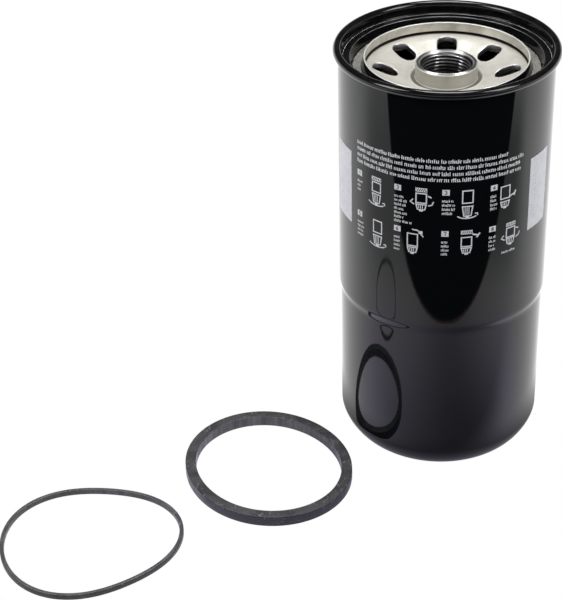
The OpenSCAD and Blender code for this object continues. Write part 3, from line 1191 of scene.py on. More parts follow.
@dataclass
class HeadPlate:
    """The dished plate with its threaded collar and the obround flow slots."""

    plate_z: float = 212.9
    dish_z: float = 208.2
    thickness: float = 3.0
    rim_r: float = 51.6
    collar_r: float = 15.5
    collar_z: float = 215.8
    neck_z: float = 201.2
    neck_r: float = 15.0
    bore_r: float = 11.8
    mouth: float = 2.3
    thread_depth: float = 1.1
    pitch: float = 1.814
    trough: Span = (17.6, 18.2)
    trough_h: float = 0.7
    slots: int = 8
    slot_r: float = 30.4
    slot_w: float = 9.7
    slot_len: float = 12.6
    cone_in: float = 22.5
    cone_out: float = 34.8
    cone_shift: float = 0.6
    bend: float = 8.0
    edge_r: float = 0.7
    burr: float = 0.3
    inner_r: float = 20.0
    outer_r: float = 40.0
    arc_steps: int = 24
    side_steps: int = 12
    spread_steps: int = 5
    round_steps: int = 5

    def surface(self, drop: float, shift: float) -> HeightLine:
        """One of the plate's two faces.

        Args:
            drop: how far it is below the top face.
            shift: how much further out the cone is.

        Returns:
            Its height line.
        """
        low, high = self.dish_z - drop, self.plate_z - drop
        return HeightLine(rounded([
            Corner(self.neck_r, low), Corner(self.cone_in + shift, low, self.bend),
            Corner(self.cone_out + shift, high, self.bend), Corner(self.rim_r, high)], closed=False))

    def border(self) -> list[Flat]:
        """The edge of one slot's sector, in the slot's own frame.

        Returns:
            Points round the sector, with the first axis along the radius.
        """
        half = math.pi / self.slots
        edge = [(self.outer_r, half * (2 * i / self.arc_steps - 1)) for i in range(self.arc_steps)]
        fall = (self.inner_r - self.outer_r) / self.side_steps
        edge += [(self.outer_r + fall * i, half) for i in range(self.side_steps)]
        edge += [(self.inner_r, half * (1 - 2 * i / self.arc_steps)) for i in range(self.arc_steps)]
        edge += [(self.inner_r - fall * i, -half) for i in range(self.side_steps)]
        return [polar(r, a) for r, a in edge]

    def on_slot(self, towards: Flat, grow: float) -> Flat:
        """Where a line from the slot's middle crosses the slot's edge.

        Args:
            towards: a point on the line.
            grow: how much larger than the slot the edge is.

        Returns:
            The crossing.
        """
        along, across = towards[0] - self.slot_r, towards[1]
        length = math.hypot(along, across)
        along, across = along / length, across / length
        radius, half = self.slot_w / 2 + grow, (self.slot_len - self.slot_w) / 2
        reach = radius / abs(across) if abs(across) > 1e-9 else math.inf
        if reach * abs(along) > half:
            reach = half * abs(along) + math.sqrt(radius**2 - (half * across) ** 2)
        return (self.slot_r + reach * along, reach * across)

    def add_sector(self, draft: MeshDraft, turn: float) -> None:
        """Adds one slot and the plate round it.

        Args:
            draft: the plate.
            turn: the slot's direction in radians.
        """
        border = self.border()
        top, under = self.surface(0, 0), self.surface(self.thickness, self.cone_shift)
        spin = Matrix.Rotation(turn, 3, "Z")

        def loop(edge: Sequence[Flat], face: HeightLine, drop: float) -> list[Point]:
            """A closed row of points at a depth below a face.

            Args:
                edge: the row in the slot's own frame.
                face: the face.
                drop: the depth below it.

            Returns:
                The row in the plate's frame.
            """
            raised = [Vector((x, y, face.at(math.hypot(x, y)) - drop)) for x, y in edge]
            return [tuple(spin @ p) for p in raised]

        def spread(face: HeightLine, grow: float) -> list[list[Point]]:
            """Rows from the sector's border in to the slot's rounded edge.

            Args:
                face: the face that they lie on.
                grow: how far outside the slot they stop.

            Returns:
                The rows.
            """
            rim = [self.on_slot(p, grow) for p in border]
            rows = []
            for step in range(self.spread_steps + 1):
                share = step / self.spread_steps
                edge = [tuple(b + share * (r - b) for b, r in zip(*pair)) for pair in zip(border, rim)]
                rows.append(loop(edge, face, 0.0))
            return rows

        rows = spread(top, self.edge_r)
        for step in range(self.round_steps):
            turned = math.radians(90 - 90 * (step + 1) / self.round_steps)
            edge = [self.on_slot(p, self.edge_r * (1 - math.cos(turned))) for p in border]
            rows.append(loop(edge, top, self.edge_r * (1 - math.sin(turned))))
        wall = [self.on_slot(p, 0.0) for p in border]
        rows.append(loop(wall, under, -self.burr))
        rows += spread(under, self.burr)[::-1]
        draft.grid(rows, wrap_points=True)

    def build(self) -> None:
        """Makes the plate."""
        draft = MeshDraft()
        segments = self.slots * self.arc_steps
        for i in range(self.slots):
            self.add_sector(draft, math.radians(90 + 360 / self.slots * i))
        foot, low = self.dish_z - self.trough_h, self.dish_z - self.thickness
        draft.lathe(rounded([
            Corner(self.inner_r, self.dish_z), Corner(self.trough[1], self.dish_z, 0.8),
            Corner(self.trough[0], foot, 0.6), Corner(self.collar_r, foot, 0.7),
            Corner(self.collar_r, self.collar_z - 1.1, 0.4), Corner(self.collar_r - 0.9, self.collar_z, 0.25),
            Corner(self.bore_r + self.mouth, self.collar_z)], closed=False), segments, closed=False)
        thread = Thread(self.bore_r, self.thread_depth, self.pitch, self.collar_z, self.neck_z, self.mouth,
                        exit=0.5)
        thread.add_to(draft, segments)
        draft.lathe(rounded([
            Corner(self.bore_r + thread.exit, self.neck_z), Corner(self.neck_r, self.neck_z, 0.5),
            Corner(self.neck_r, low, 0.6), Corner(self.inner_r, low)], closed=False), segments, closed=False)
        draft.lathe(rounded([
            Corner(self.outer_r, self.plate_z), Corner(self.rim_r, self.plate_z, 0.4),
            Corner(self.rim_r, self.plate_z - self.thickness, 0.4),
            Corner(self.outer_r, self.plate_z - self.thickness)], closed=False), segments, closed=False)
        install(draft.make("slotted_plate"), Body.CANISTER, Finishes.ZINC, "thread_plate")


@dataclass
class BowlPort:
    """The threaded ring that takes the water bowl, and the pressed seat for the spring."""

    bore_r: float = 38.4
    neck_r: float = 41.0
    shoulder_r: float = 46.0
    length: float = 16.0
    shoulder_h: float = 3.0
    pitch: float = 3.0
    depth: float = 1.6
    segments: int = 240

    def build(self) -> None:
        """Makes the ring and dresses the seat."""
        shoulder = self.length - self.shoulder_h
        draft = MeshDraft()
        thread = Thread(self.bore_r, self.depth, self.pitch, self.length, 0.0, mouth=0.6, exit=1.2,
                        rows_per_turn=16)
        thread.add_to(draft, self.segments)
        draft.lathe(rounded([
            Corner(self.bore_r + thread.exit, 0), Corner(self.neck_r, 0, 0.4),
            Corner(self.neck_r, shoulder, 0.3), Corner(self.shoulder_r, shoulder, 0.5),
            Corner(self.shoulder_r, self.length, 0.5),
            Corner(self.bore_r + thread.mouth, self.length)], closed=False), self.segments, closed=False)
        install(draft.make("bowl_thread_ring"), Body.CANISTER, Finishes.PORT, "bowl_port_ring")
        dress("spring_seat", Finishes.TIN)


# ---------------------------------------------------------------- filter element


@dataclass
class ElementSpring:
    """The coil spring under the element, with its end turns lying flat."""

    coil_r: float = 43.2
    wire_r: float = 1.2
    turns: float = 3.5
    flat_turns: float = 0.75
    gap: float = 0.15
    travel: float = 4.0
    seat_sheet: float = 1.2
    steps_per_turn: int = 72
    sides: int = 16

    def middle(self, turn: float, low: float, high: float) -> Vector:
        """A point on the wire's centre line.

        Args:
            turn: how many turns along.
            low: height of its start.
            high: height of its end.

        Returns:
            The point.
        """
        dead = 2 * self.wire_r + self.gap
        flat = min(turn, self.flat_turns) + max(0.0, turn - self.turns + self.flat_turns)
        share = (turn - self.flat_turns) / (self.turns - 2 * self.flat_turns)
        lift = dead * flat / self.flat_turns + (high - low - 2 * dead) * min(1.0, max(0.0, share))
        return Vector((*polar(self.coil_r, math.tau * turn), low + lift))

    def build(self) -> None:
        """Makes the spring."""
        low, high = (corner.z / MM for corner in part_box("element_spring"))
        steps = round(self.turns * self.steps_per_turn)
        ends = (low + self.wire_r, high - self.wire_r)
        path = [self.middle(i / self.steps_per_turn, *ends) for i in range(steps + 1)]
        sections = []
        for i, here in enumerate(path):
            ahead = (path[min(i + 1, steps)] - path[max(i - 1, 0)]).normalized()
            side = ahead.cross(Vector((0, 0, 1))).normalized()
            rise = side.cross(ahead)
            spokes = [polar(self.wire_r, angle) for angle in full_turn(self.sides)]
            sections.append([tuple(here + side * x + rise * y) for x, y in spokes])
        draft = MeshDraft()
        draft.tube(sections)
        piece = draft.make("coil_spring")
        install(piece, Body.CANISTER, Finishes.SPRING, "element_spring")
        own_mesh(piece)


@dataclass
class PleatedPaper:
    """The pleated filter paper, with rounded folds."""

    pleats: int = 48
    tip_r: float = 45.4
    valley_r: float = 23.3
    paper: float = 0.6
    fold_r: float = 0.9
    tip_lean: float = 0.23
    valley_lean: Span = (0.42, 0.58)

    def middle(self) -> list[Flat]:
        """The paper's middle line.

        Returns:
            The closed line, folded at every tip and valley.
        """
        folds = ((self.tip_r, -self.tip_lean), (self.tip_r, self.tip_lean),
                 (self.valley_r, self.valley_lean[0]), (self.valley_r, self.valley_lean[1]))
        return rounded([Corner(*polar(radius, math.tau * (i + lean) / self.pleats), self.fold_r)
                        for i in range(self.pleats) for radius, lean in folds])

    def shifted(self, line: Sequence[Flat], by: float) -> list[Flat]:
        """A line beside a closed line.

        Args:
            line: the closed line.
            by: how far beside it.

        Returns:
            The shifted line, with as many points.
        """
        moved = []
        for i, (x, y) in enumerate(line):
            before, after = line[i - 1], line[(i + 1) % len(line)]
            along = Vector((after[0] - before[0], after[1] - before[1])).normalized()
            moved.append((x + along.y * by, y - along.x * by))
        return moved

    def build(self) -> None:
        """Makes the paper."""
        low, high = (corner.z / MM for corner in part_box("pleated_media"))
        line = self.middle()
        outer, inner = self.shifted(line, self.paper / 2), self.shifted(line, -self.paper / 2)
        edges = ((outer, low), (outer, high), (inner, high), (inner, low))
        rows = [[(x, y, z) for x, y in face] for face, z in edges]
        draft = MeshDraft()
        draft.grid(rows, wrap_rows=True, wrap_points=True)
        install(draft.make("pleated_paper"), Body.ELEMENT, Finishes.PAPER, "pleated_media")


class FilterElement:
    """The element's own parts, which sit inside the can."""

    FINISHES = {
        "lower_end_cap": Finishes.TIN, "upper_end_cap": Finishes.TIN, "media_seam_clip": Finishes.TIN,
        "lower_potting": Finishes.RESIN, "upper_potting": Finishes.RESIN, "media_band_1": Finishes.GLUE,
        "media_band_2": Finishes.GLUE, "media_band_3": Finishes.GLUE, "perforated_core": Finishes.CORE,
        "screen_frame": Finishes.CAGE, "separator_screen": Finishes.MESH, "neck_seal": Finishes.NECK,
    }

    def build(self) -> None:
        """Makes the spring and the paper, and dresses the rest."""
        ElementSpring().build()
        PleatedPaper().build()
        for node, finish in self.FINISHES.items():
            dress(node, finish)


# ---------------------------------------------------------------- loose seals


@dataclass
class LooseSeal:
    """A slack rubber ring that lies on the ground, a little out of round.

    The oval and the bulge each hold how far the ring stands out and in which direction, in degrees.
    """

    name: str
    node: str
    body: Body
    centre: Flat
    mean_r: float
    oval: Flat
    bulge: Flat
    section: Sequence[Flat]
    finish: Finish
    steps: int = 240

    def build(self) -> None:
        """Makes the ring."""
        sections = []
        for angle in full_turn(self.steps):
            slack = self.oval[0] * math.cos(2 * (angle - math.radians(self.oval[1])))
            slack += self.bulge[0] * math.cos(3 * (angle - math.radians(self.bulge[1])))
            ring = []
            for out, up in self.section:
                x, y = polar(self.mean_r + slack + out, angle)
                ring.append((self.centre[0] + x, self.centre[1] + y, up))
            sections.append(ring)
        draft = MeshDraft()
        draft.tube(sections, looped=True)
        install(draft.make(self.name), self.body, self.finish, self.node)


class LooseSeals:
    """The head gasket and the bowl seal."""

    def section(self, width: float, height: float, soft: float, flash: float) -> list[Flat]:
        """A rectangular section with soft corners and a faint mould line outside.

        Args:
            width: its width.
            height: its height.
            soft: radius of its corners.
            flash: how far the mould line stands out.

        Returns:
            The closed section, out from the mean radius and up from the ground.
        """
        out, middle = width / 2, height / 2
        return rounded([
            Corner(out - flash, 0, soft), Corner(out - flash, middle - 3 * flash, flash), Corner(out, middle),
            Corner(out - flash, middle + 3 * flash, flash), Corner(out - flash, height, soft),
            Corner(-out, height, soft), Corner(-out, 0, soft)])

    def build(self) -> None:
        """Makes both seals."""
        thick, thin = Finishes.THICK_SEAL, Finishes.THIN_SEAL
        LooseSeal("thick_gasket", "head_gasket", Body.HEAD_SEAL, thick.centre, 42.6, (2.4, -51.5), (0.13, -3),
                  self.section(5.8, 6.1, 0.6, 0.05), thick).build()
        LooseSeal("thin_seal", "bowl_o_ring", Body.BOWL_SEAL, thin.centre, 43.4, (2.6, 17), (1.75, 18.7),
                  self.section(2.2, 3.2, 0.65, 0.03), thin).build()


# ---------------------------------------------------------------- printed panel


class InkSheet:
    """Strokes of ink on the can, drawn flat in millimetres and wrapped round its side.

    The sizes of a tick, its pitch and its crossbar are shares of its row's height or pitch.
    """

    STEP = 1.5
    TICK = 0.3
    PITCH = 0.6
    GAP = 0.7
    TALL = (1.0, 1.0, 1.0, 1.35)
    CROSSED = 0.6
    CROSS_W = 0.45
    CROSS_H = 0.24
    CROSS_UP = (0.0, 0.4, 0.8)

    def __init__(self, can_r: float, start: float, end: float) -> None:
        """Starts with no ink.

        Args:
            can_r: the can's radius.
            start: how far above the can's side the ink starts.
            end: how far above it the ink ends.
        """
        self.can_r = can_r
        self.levels = (start, end)
        self.draft = MeshDraft()

    def wrap(self, across: float, up: float, level: float) -> Point:
        """Puts a flat point on the can.

        Args:
            across: distance round the can from its front, to the right.
            up: height.
            level: distance above the side.

        Returns:
            The point in space.
        """
        angle = across / self.can_r
        radius = self.can_r + level
        return (radius * math.sin(angle), -radius * math.cos(angle), up)

    def stroke(self, points: Sequence[Flat], width: float) -> None:
        """Draws a line of even width through points.

        Args:
            points: the line's points.
            width: its width.
        """
        fine = [points[0]]
        for start, end in zip(points, points[1:]):
            steps = max(1, math.ceil(math.dist(start, end) / self.STEP))
            for i in range(1, steps + 1):
                fine.append(tuple(a + (b - a) * i / steps for a, b in zip(start, end)))
        sections = []
        for i, here in enumerate(fine):
            before, after = fine[max(i - 1, 0)], fine[min(i + 1, len(fine) - 1)]
            along = Vector((after[0] - before[0], after[1] - before[1])).normalized()
            side = Vector((-along.y, along.x)) * width / 2
            edges = [(here[0] + s * side.x, here[1] + s * side.y) for s in (-1, 1)]
            low, high = self.levels
            sections.append([self.wrap(*edges[0], low), self.wrap(*edges[1], low),
                             self.wrap(*edges[1], high), self.wrap(*edges[0], high)])
        self.draft.tube(sections)

    def block(self, left: float, low: float, width: float, height: float) -> None:
        """Fills a rectangle from its left and lower sides."""
        self.stroke([(left, low + height / 2), (left + width, low + height / 2)], height)

    def frame(self, left: float, low: float, width: float, height: float, line: float) -> None:
        """Draws the outline of a rectangle.

        Args:
            left: its left side.
            low: its lower side.
            width: its width.
            height: its height.
            line: the line's thickness.
        """
        self.block(left, low, width, line)
        self.block(left, low + height - line, width, line)
        for x in (left, left + width - line):
            self.block(x, low + line, line, height - 2 * line)

    def ticks(self, left: float, right: float, low: float, height: float, rng: random.Random) -> None:
        """Draws a row of meaningless ticks in word-like groups, which stands for a line of wording.

        Args:
            left: where the row starts.
            right: where it ends.
            low: its base line.
            height: the usual height of a tick.
            rng: the source of the groups' lengths.
        """
        x, pitch, tick = left, height * self.PITCH, height * self.TICK
        while x < right - pitch:
            for _ in range(rng.randint(3, 8)):
                if x > right - pitch:
                    break
                self.block(x, low, tick, height * rng.choice(self.TALL))
                if rng.random() < self.CROSSED:
                    up = rng.choice(self.CROSS_UP) * height
                    self.block(x + tick, low + up, pitch * self.CROSS_W, height * self.CROSS_H)
                x += pitch
            x += pitch * self.GAP

    def make(self, name: str, finish: Finish, slot: str | None) -> None:
        """Turns the ink into a piece that rides on the canister."""
        install(self.draft.make(name), Body.CANISTER, finish)


class Extra(Enum):
    """What a step's picture shows beside the little filter."""

    TURN = "a turning arrow below"
    SIDES = "an arrow at each side"
    TAP = "a tap at the middle"
    JUG = "a jug above"
    WRENCH = "a handle at the top"


@dataclass(frozen=True)
class StepPicture:
    """One step's picture: a plain little filter with a bowl, and an extra that shows the step."""

    left: float
    top: float
    head: bool
    apart: float
    extra: Extra
    bowl_h: float = 3.4
    width: float = 5.8
    line: float = 0.62

    def hatch(self, ink: InkSheet, left: float, low: float, height: float) -> None:
        """Draws a hatched band.

        Args:
            ink: the ink sheet.
            left: the band's left side.
            low: its lower side.
            height: its height.
        """
        ink.frame(left, low, self.width, height, 0.35)
        count = 5
        for i in range(count):
            x = left + self.width * (i + 0.6) / (count + 0.6)
            ink.stroke([(x - 0.5, low + 0.2), (x + 0.5, low + height - 0.2)], 0.45)

    def turn_arrow(self, ink: InkSheet, middle: float, up: float, reach: float) -> None:
        """Draws a flat arc with an arrow head at its right end.

        Args:
            ink: the ink sheet.
            middle: the arc's centre across.
            up: the arc's centre height.
            reach: half the arc's width.
        """
        sweep = [polar(reach, math.radians(200 + 10 * i)) for i in range(14)]
        ink.stroke([(middle + x, up + 0.42 * y) for x, y in sweep], self.line)
        tip = (middle + reach * 0.97, up + 0.35)
        ink.stroke([(tip[0] - 1.3, tip[1] - 0.2), tip, (tip[0] + 0.15, tip[1] - 1.3)], self.line)

    def bowl(self, ink: InkSheet, left: float, low: float) -> None:
        """Draws the water bowl with its ribs and drain knob.

        Args:
            ink: the ink sheet.
            left: its left side.
            low: its lower side.
        """
        right, top = left + self.width, low + self.bowl_h - 0.2
        ink.stroke([(left + 0.3, top), (left + 1.1, low), (right - 1.1, low), (right - 0.3, top)], self.line)
        ink.block(left + 0.2, top - 0.7, self.width - 0.4, 0.6)
        for i in range(3):
            ink.block(left + 1.5 + 0.95 * i, low + 0.6, 0.4, self.bowl_h - 1.7)
        ink.block(left + self.width / 2 - 0.9, low - 1.0, 1.8, 0.8)

    def draw(self, ink: InkSheet, left: float, top: float) -> None:
        """Draws the picture.

        Args:
            ink: the ink sheet.
            left: the little filter's left side.
            top: its top.
        """
        if self.head:
            self.hatch(ink, left, top - 2.1, 2.1)
            top -= 2.7 if self.extra is not Extra.WRENCH else 3.6
        body_h = 5.8 if self.head else 7.4
        ink.frame(left, top - body_h, self.width, body_h, self.line)
        bowl_low = top - body_h - self.apart - self.bowl_h
        self.bowl(ink, left, bowl_low)
        right = left + self.width
        if self.extra is Extra.TURN:
            self.turn_arrow(ink, left + self.width / 2, bowl_low + 0.8, 5.2)
        elif self.extra is Extra.SIDES:
            ink.stroke([(left - 0.6, top - 6.6), (left - 2.6, top - 5.4), (left - 1.2, top - 3.8)], self.line)
            ink.stroke([(right + 0.6, top - 6.8), (right + 2.4, top - 6.2), (right + 3.2, top - 4.4)],
                       self.line)
            ink.stroke([(right + 0.4, top - 1.4), (right + 2.2, top - 2.2)], 0.7)
        elif self.extra is Extra.TAP:
            ink.stroke([(right, top - 6.6), (right + 2.8, top - 5.6)], 0.8)
            ink.stroke([(right + 2.4, top - 6.8), (right + 3.4, top - 4.2)], 0.9)
        elif self.extra is Extra.JUG:
            ink.stroke([(left + 2.6, top + 2.2), (left + 5.6, top + 2.0), (left + 8.4, top - 1.4)], self.line)
            ink.block(left + 6.0, top + 0.2, 2.0, 1.6)
        else:
            ink.stroke([(right, top + 1.2), (right + 2.8, top + 0.4)], 0.8)
            ink.stroke([(right + 2.2, top - 0.9), (right + 3.8, top + 1.5)], 0.8)


@dataclass
class PrintedPanel:
    """The printed panel: four rows of ticks, eight numbered steps and two blank labels."""

    can_r: float = 54.0
    ink: float = 0.05
    first_left: float = -48.6
    column: float = 24.1
    square: float = 3.6
    square_h: float = 3.1
    row_z: Span = (171.5, 148.5)
    label_low: float = 139.8
    label_high: float = 180.1
    label_w: float = 17.0
    label_left: Span = (-71.3, 48.4)
    row_ends: tuple[float, ...] = (33.0, 43.0, 40.6, 42.0)
    row_top: float = 187.3
    row_pitch: float = 3.35
    row_h: float = 1.55
    note_top: float = -5.4
    note_pitch: float = 2.3
    note_h: float = 1.1
    note_reach: Span = (0.75, 1.1)
    note_last: float = 1.5
    note_long: int = 6
    foot_note: tuple[float, float, float] = (7.6, 17.0, 132.6)
    numeral: float = 0.62
    numeral_line: float = 0.38
    mark_x: Span = (51.2, 53.4)
    mark_margin: Span = (6.0, 10.0)
    mark_sway: Span = (-0.2, 0.2)
    mark_length: Span = (0.4, 1.3)
    mark_gap: Span = (0.5, 1.6)
    mark_line: float = 0.3

    PICTURES = (
        StepPicture(10.6, 1.8, True, 0.4, Extra.TURN, 5.4), StepPicture(11.0, 1.7, True, 0.0, Extra.SIDES),
        StepPicture(9.6, 0.9, False, 1.0, Extra.TURN, 5.8), StepPicture(5.4, -0.4, False, 0.8, Extra.TAP),
        StepPicture(11.4, 0.8, False, 0.8, Extra.TURN, 5.4), StepPicture(6.9, -1.1, False, 0.0, Extra.JUG),
        StepPicture(9.6, 1.5, True, 0.0, Extra.WRENCH), StepPicture(9.7, 0.9, True, 0.0, Extra.SIDES),
    )
    TICK_ROWS = ((3, 3.8), (7, 6.6), (4, 7.2), (4, 5.0), (4, 5.6), (4, 4.0), (4, 4.6), (4, 4.4))
    NUMERALS = (
        ((0.3, 0.8), (0.6, 1.0), (0.6, 0.0)),
        ((0.1, 0.85), (0.5, 1.0), (0.9, 0.8), (0.8, 0.5), (0.1, 0.0), (0.95, 0.0)),
        ((0.1, 0.95), (0.6, 1.0), (0.85, 0.77), (0.5, 0.53), (0.9, 0.27), (0.6, 0.0), (0.1, 0.07)),
        ((0.7, 0.0), (0.7, 1.0), (0.05, 0.3), (0.95, 0.3)),
        ((0.9, 1.0), (0.2, 1.0), (0.15, 0.55), (0.6, 0.6), (0.92, 0.32), (0.6, 0.0), (0.1, 0.05)),
        ((0.8, 0.97), (0.3, 0.75), (0.1, 0.3), (0.45, 0.0), (0.88, 0.28), (0.5, 0.55), (0.13, 0.38)),
        ((0.1, 1.0), (0.95, 1.0), (0.4, 0.0)),
        ((0.5, 0.53), (0.15, 0.77), (0.5, 1.0), (0.85, 0.77), (0.5, 0.53), (0.1, 0.27), (0.5, 0.0),
         (0.9, 0.27), (0.5, 0.53)),
    )

    def wording(self) -> None:
        """Prints the rows of ticks over the steps."""
        rng = random.Random(7)
        sheet = InkSheet(self.can_r, 0.0, self.ink)
        for i, right in enumerate(self.row_ends):
            sheet.ticks(self.first_left, right, self.row_top - self.row_pitch * i, self.row_h, rng)
        for number in range(len(self.PICTURES)):
            left, middle = self.corner(number)
            rows, width = self.TICK_ROWS[number]
            for i in range(rows):
                reach = width * (self.note_last if i == self.note_long else rng.uniform(*self.note_reach))
                low = middle + self.note_top - self.note_pitch * i
                sheet.ticks(left, left + reach, low, self.note_h, rng)
        last_left, (start, end, low) = self.corner(len(self.PICTURES) - 1)[0], self.foot_note
        sheet.ticks(last_left + start, last_left + end, low, self.note_h, rng)
        sheet.make("print_tick_rows", Finishes.PRINT, "print_white")

    def corner(self, number: int) -> Flat:
        """The left side and the middle height of a step's square, counted from 0."""
        return (self.first_left + self.column * (number % 4), self.row_z[number // 4])

    def steps(self) -> None:
        """Prints the numbered squares and the pictures."""
        squares = InkSheet(self.can_r, 0.0, self.ink)
        numerals = InkSheet(self.can_r, self.ink, 1.8 * self.ink)
        pictures = InkSheet(self.can_r, 0.0, self.ink)
        for number, (picture, shape) in enumerate(zip(self.PICTURES, self.NUMERALS)):
            left, middle = self.corner(number)
            squares.block(left, middle - self.square_h / 2, self.square, self.square_h)
            size = self.numeral * self.square_h
            numerals.stroke([(left + self.square / 2 + (x - 0.5) * 0.8 * size, middle + (y - 0.5) * size)
                             for x, y in shape], self.numeral_line)
            picture.draw(pictures, left + picture.left, middle + picture.top)
        squares.make("print_squares", Finishes.PRINT, "print_white")
        numerals.make("print_numerals", Finishes.BLACK, "black_enamel")
        pictures.make("print_step_pictures", Finishes.PRINT, "print_white")

    def labels(self) -> None:
        """Prints the two blank labels, one with a few faint marks."""
        rng = random.Random(11)
        height = self.label_high - self.label_low
        for name, left in zip(("print_label_left", "print_label_right"), self.label_left):
            sheet = InkSheet(self.can_r, 0.0, self.ink)
            sheet.block(left, self.label_low, self.label_w, height)
            sheet.make(name, Finishes.LABEL, "print_white")
        marks = InkSheet(self.can_r, self.ink, 1.4 * self.ink)
        for x in self.mark_x:
            z = self.label_low + self.mark_margin[0]
            while z < self.label_high - self.mark_margin[1]:
                length = rng.uniform(*self.mark_length)
                ends = [(x + rng.uniform(*self.mark_sway), end) for end in (z, z + length)]
                marks.stroke(ends, self.mark_line)
                z += length + rng.uniform(*self.mark_gap)
        marks.make("print_faint_marks", Finishes.FAINT, None)

    def build(self) -> None:
        """Prints everything."""
        self.wording()
        self.steps()
        self.labels()


# ---------------------------------------------------------------- studio


@dataclass(frozen=True)
class FloorShade:
    """How bright glossy surfaces find the floor, which is plain to the camera. Sizes are metres."""

    base: float = 0.94
    lane_x: float = 0.03
    lane_w: float = 0.095
    lane_y: Span = (-0.035, -0.08)
    lane_fade_y: Span = (-0.06, -0.2)
    lane_fade: Span = (0.82, 0.52)
    behind_y: Span = (-0.16, 0.1)
    behind: float = 0.4
    foot_r: Span = (0.088, 0.057)
    foot: float = 0.72
    aisle_in: Span = (0.2, 0.32)
    aisle_out: Span = (0.55, 0.4)
    aisle_y: Span = (0.02, -0.1)
    aisle_x: Span = (0.08, 0.22)
    aisle: Span = (0.3, 0.55)
    tint: Colour = (1.0, 0.92, 1.17)
    tint_r: Span = (0.25, 0.12)
    tint_y: Span = (0.0, -0.06)

    def brightness(self, nodes: Nodes) -> Socket:
        """Makes the floor's brightness, with painted shadow: darker in a lane in front of the can, at its
        foot and in a ring.

        Args:
            nodes: the floor's nodes.

        Returns:
            The brightness.
        """
        where, radius, _ = nodes.place()
        x, y, _ = nodes.split(where)
        across = nodes.maths("DIVIDE", nodes.maths("SUBTRACT", x, self.lane_x), self.lane_w)
        lane = nodes.maths("EXPONENT", nodes.product(nodes.maths("POWER", across, 2.0), -1.0))
        fade = nodes.between(nodes.ramp(y, *self.lane_fade_y), *self.lane_fade)
        shade = nodes.product(lane, nodes.ramp(y, *self.lane_y), fade)
        behind = nodes.product(nodes.ramp(y, *self.behind_y), self.behind)
        foot = nodes.product(nodes.ramp(radius, *self.foot_r), self.foot)
        aisle = nodes.product(nodes.ramp(radius, *self.aisle_in), nodes.ramp(radius, *self.aisle_out),
                              nodes.ramp(y, *self.aisle_y),
                              nodes.between(nodes.ramp(x, *self.aisle_x), *self.aisle))
        return nodes.product(nodes.maths("ADD", self.base, behind),
                             nodes.rest_of(nodes.maths("ADD", foot, aisle)), nodes.rest_of(shade))

    def colour(self, nodes: Nodes) -> Socket:
        """Makes the floor's colour: a painted violet tint in front of the can, which the camera doesn't see.

        Args:
            nodes: the floor's nodes.

        Returns:
            The colour.
        """
        where, radius, _ = nodes.place()
        _, y, _ = nodes.split(where)
        near = nodes.product(nodes.ramp(radius, *self.tint_r), nodes.ramp(y, *self.tint_y))
        return nodes.blend(near, (1.0, 1.0, 1.0), self.tint)


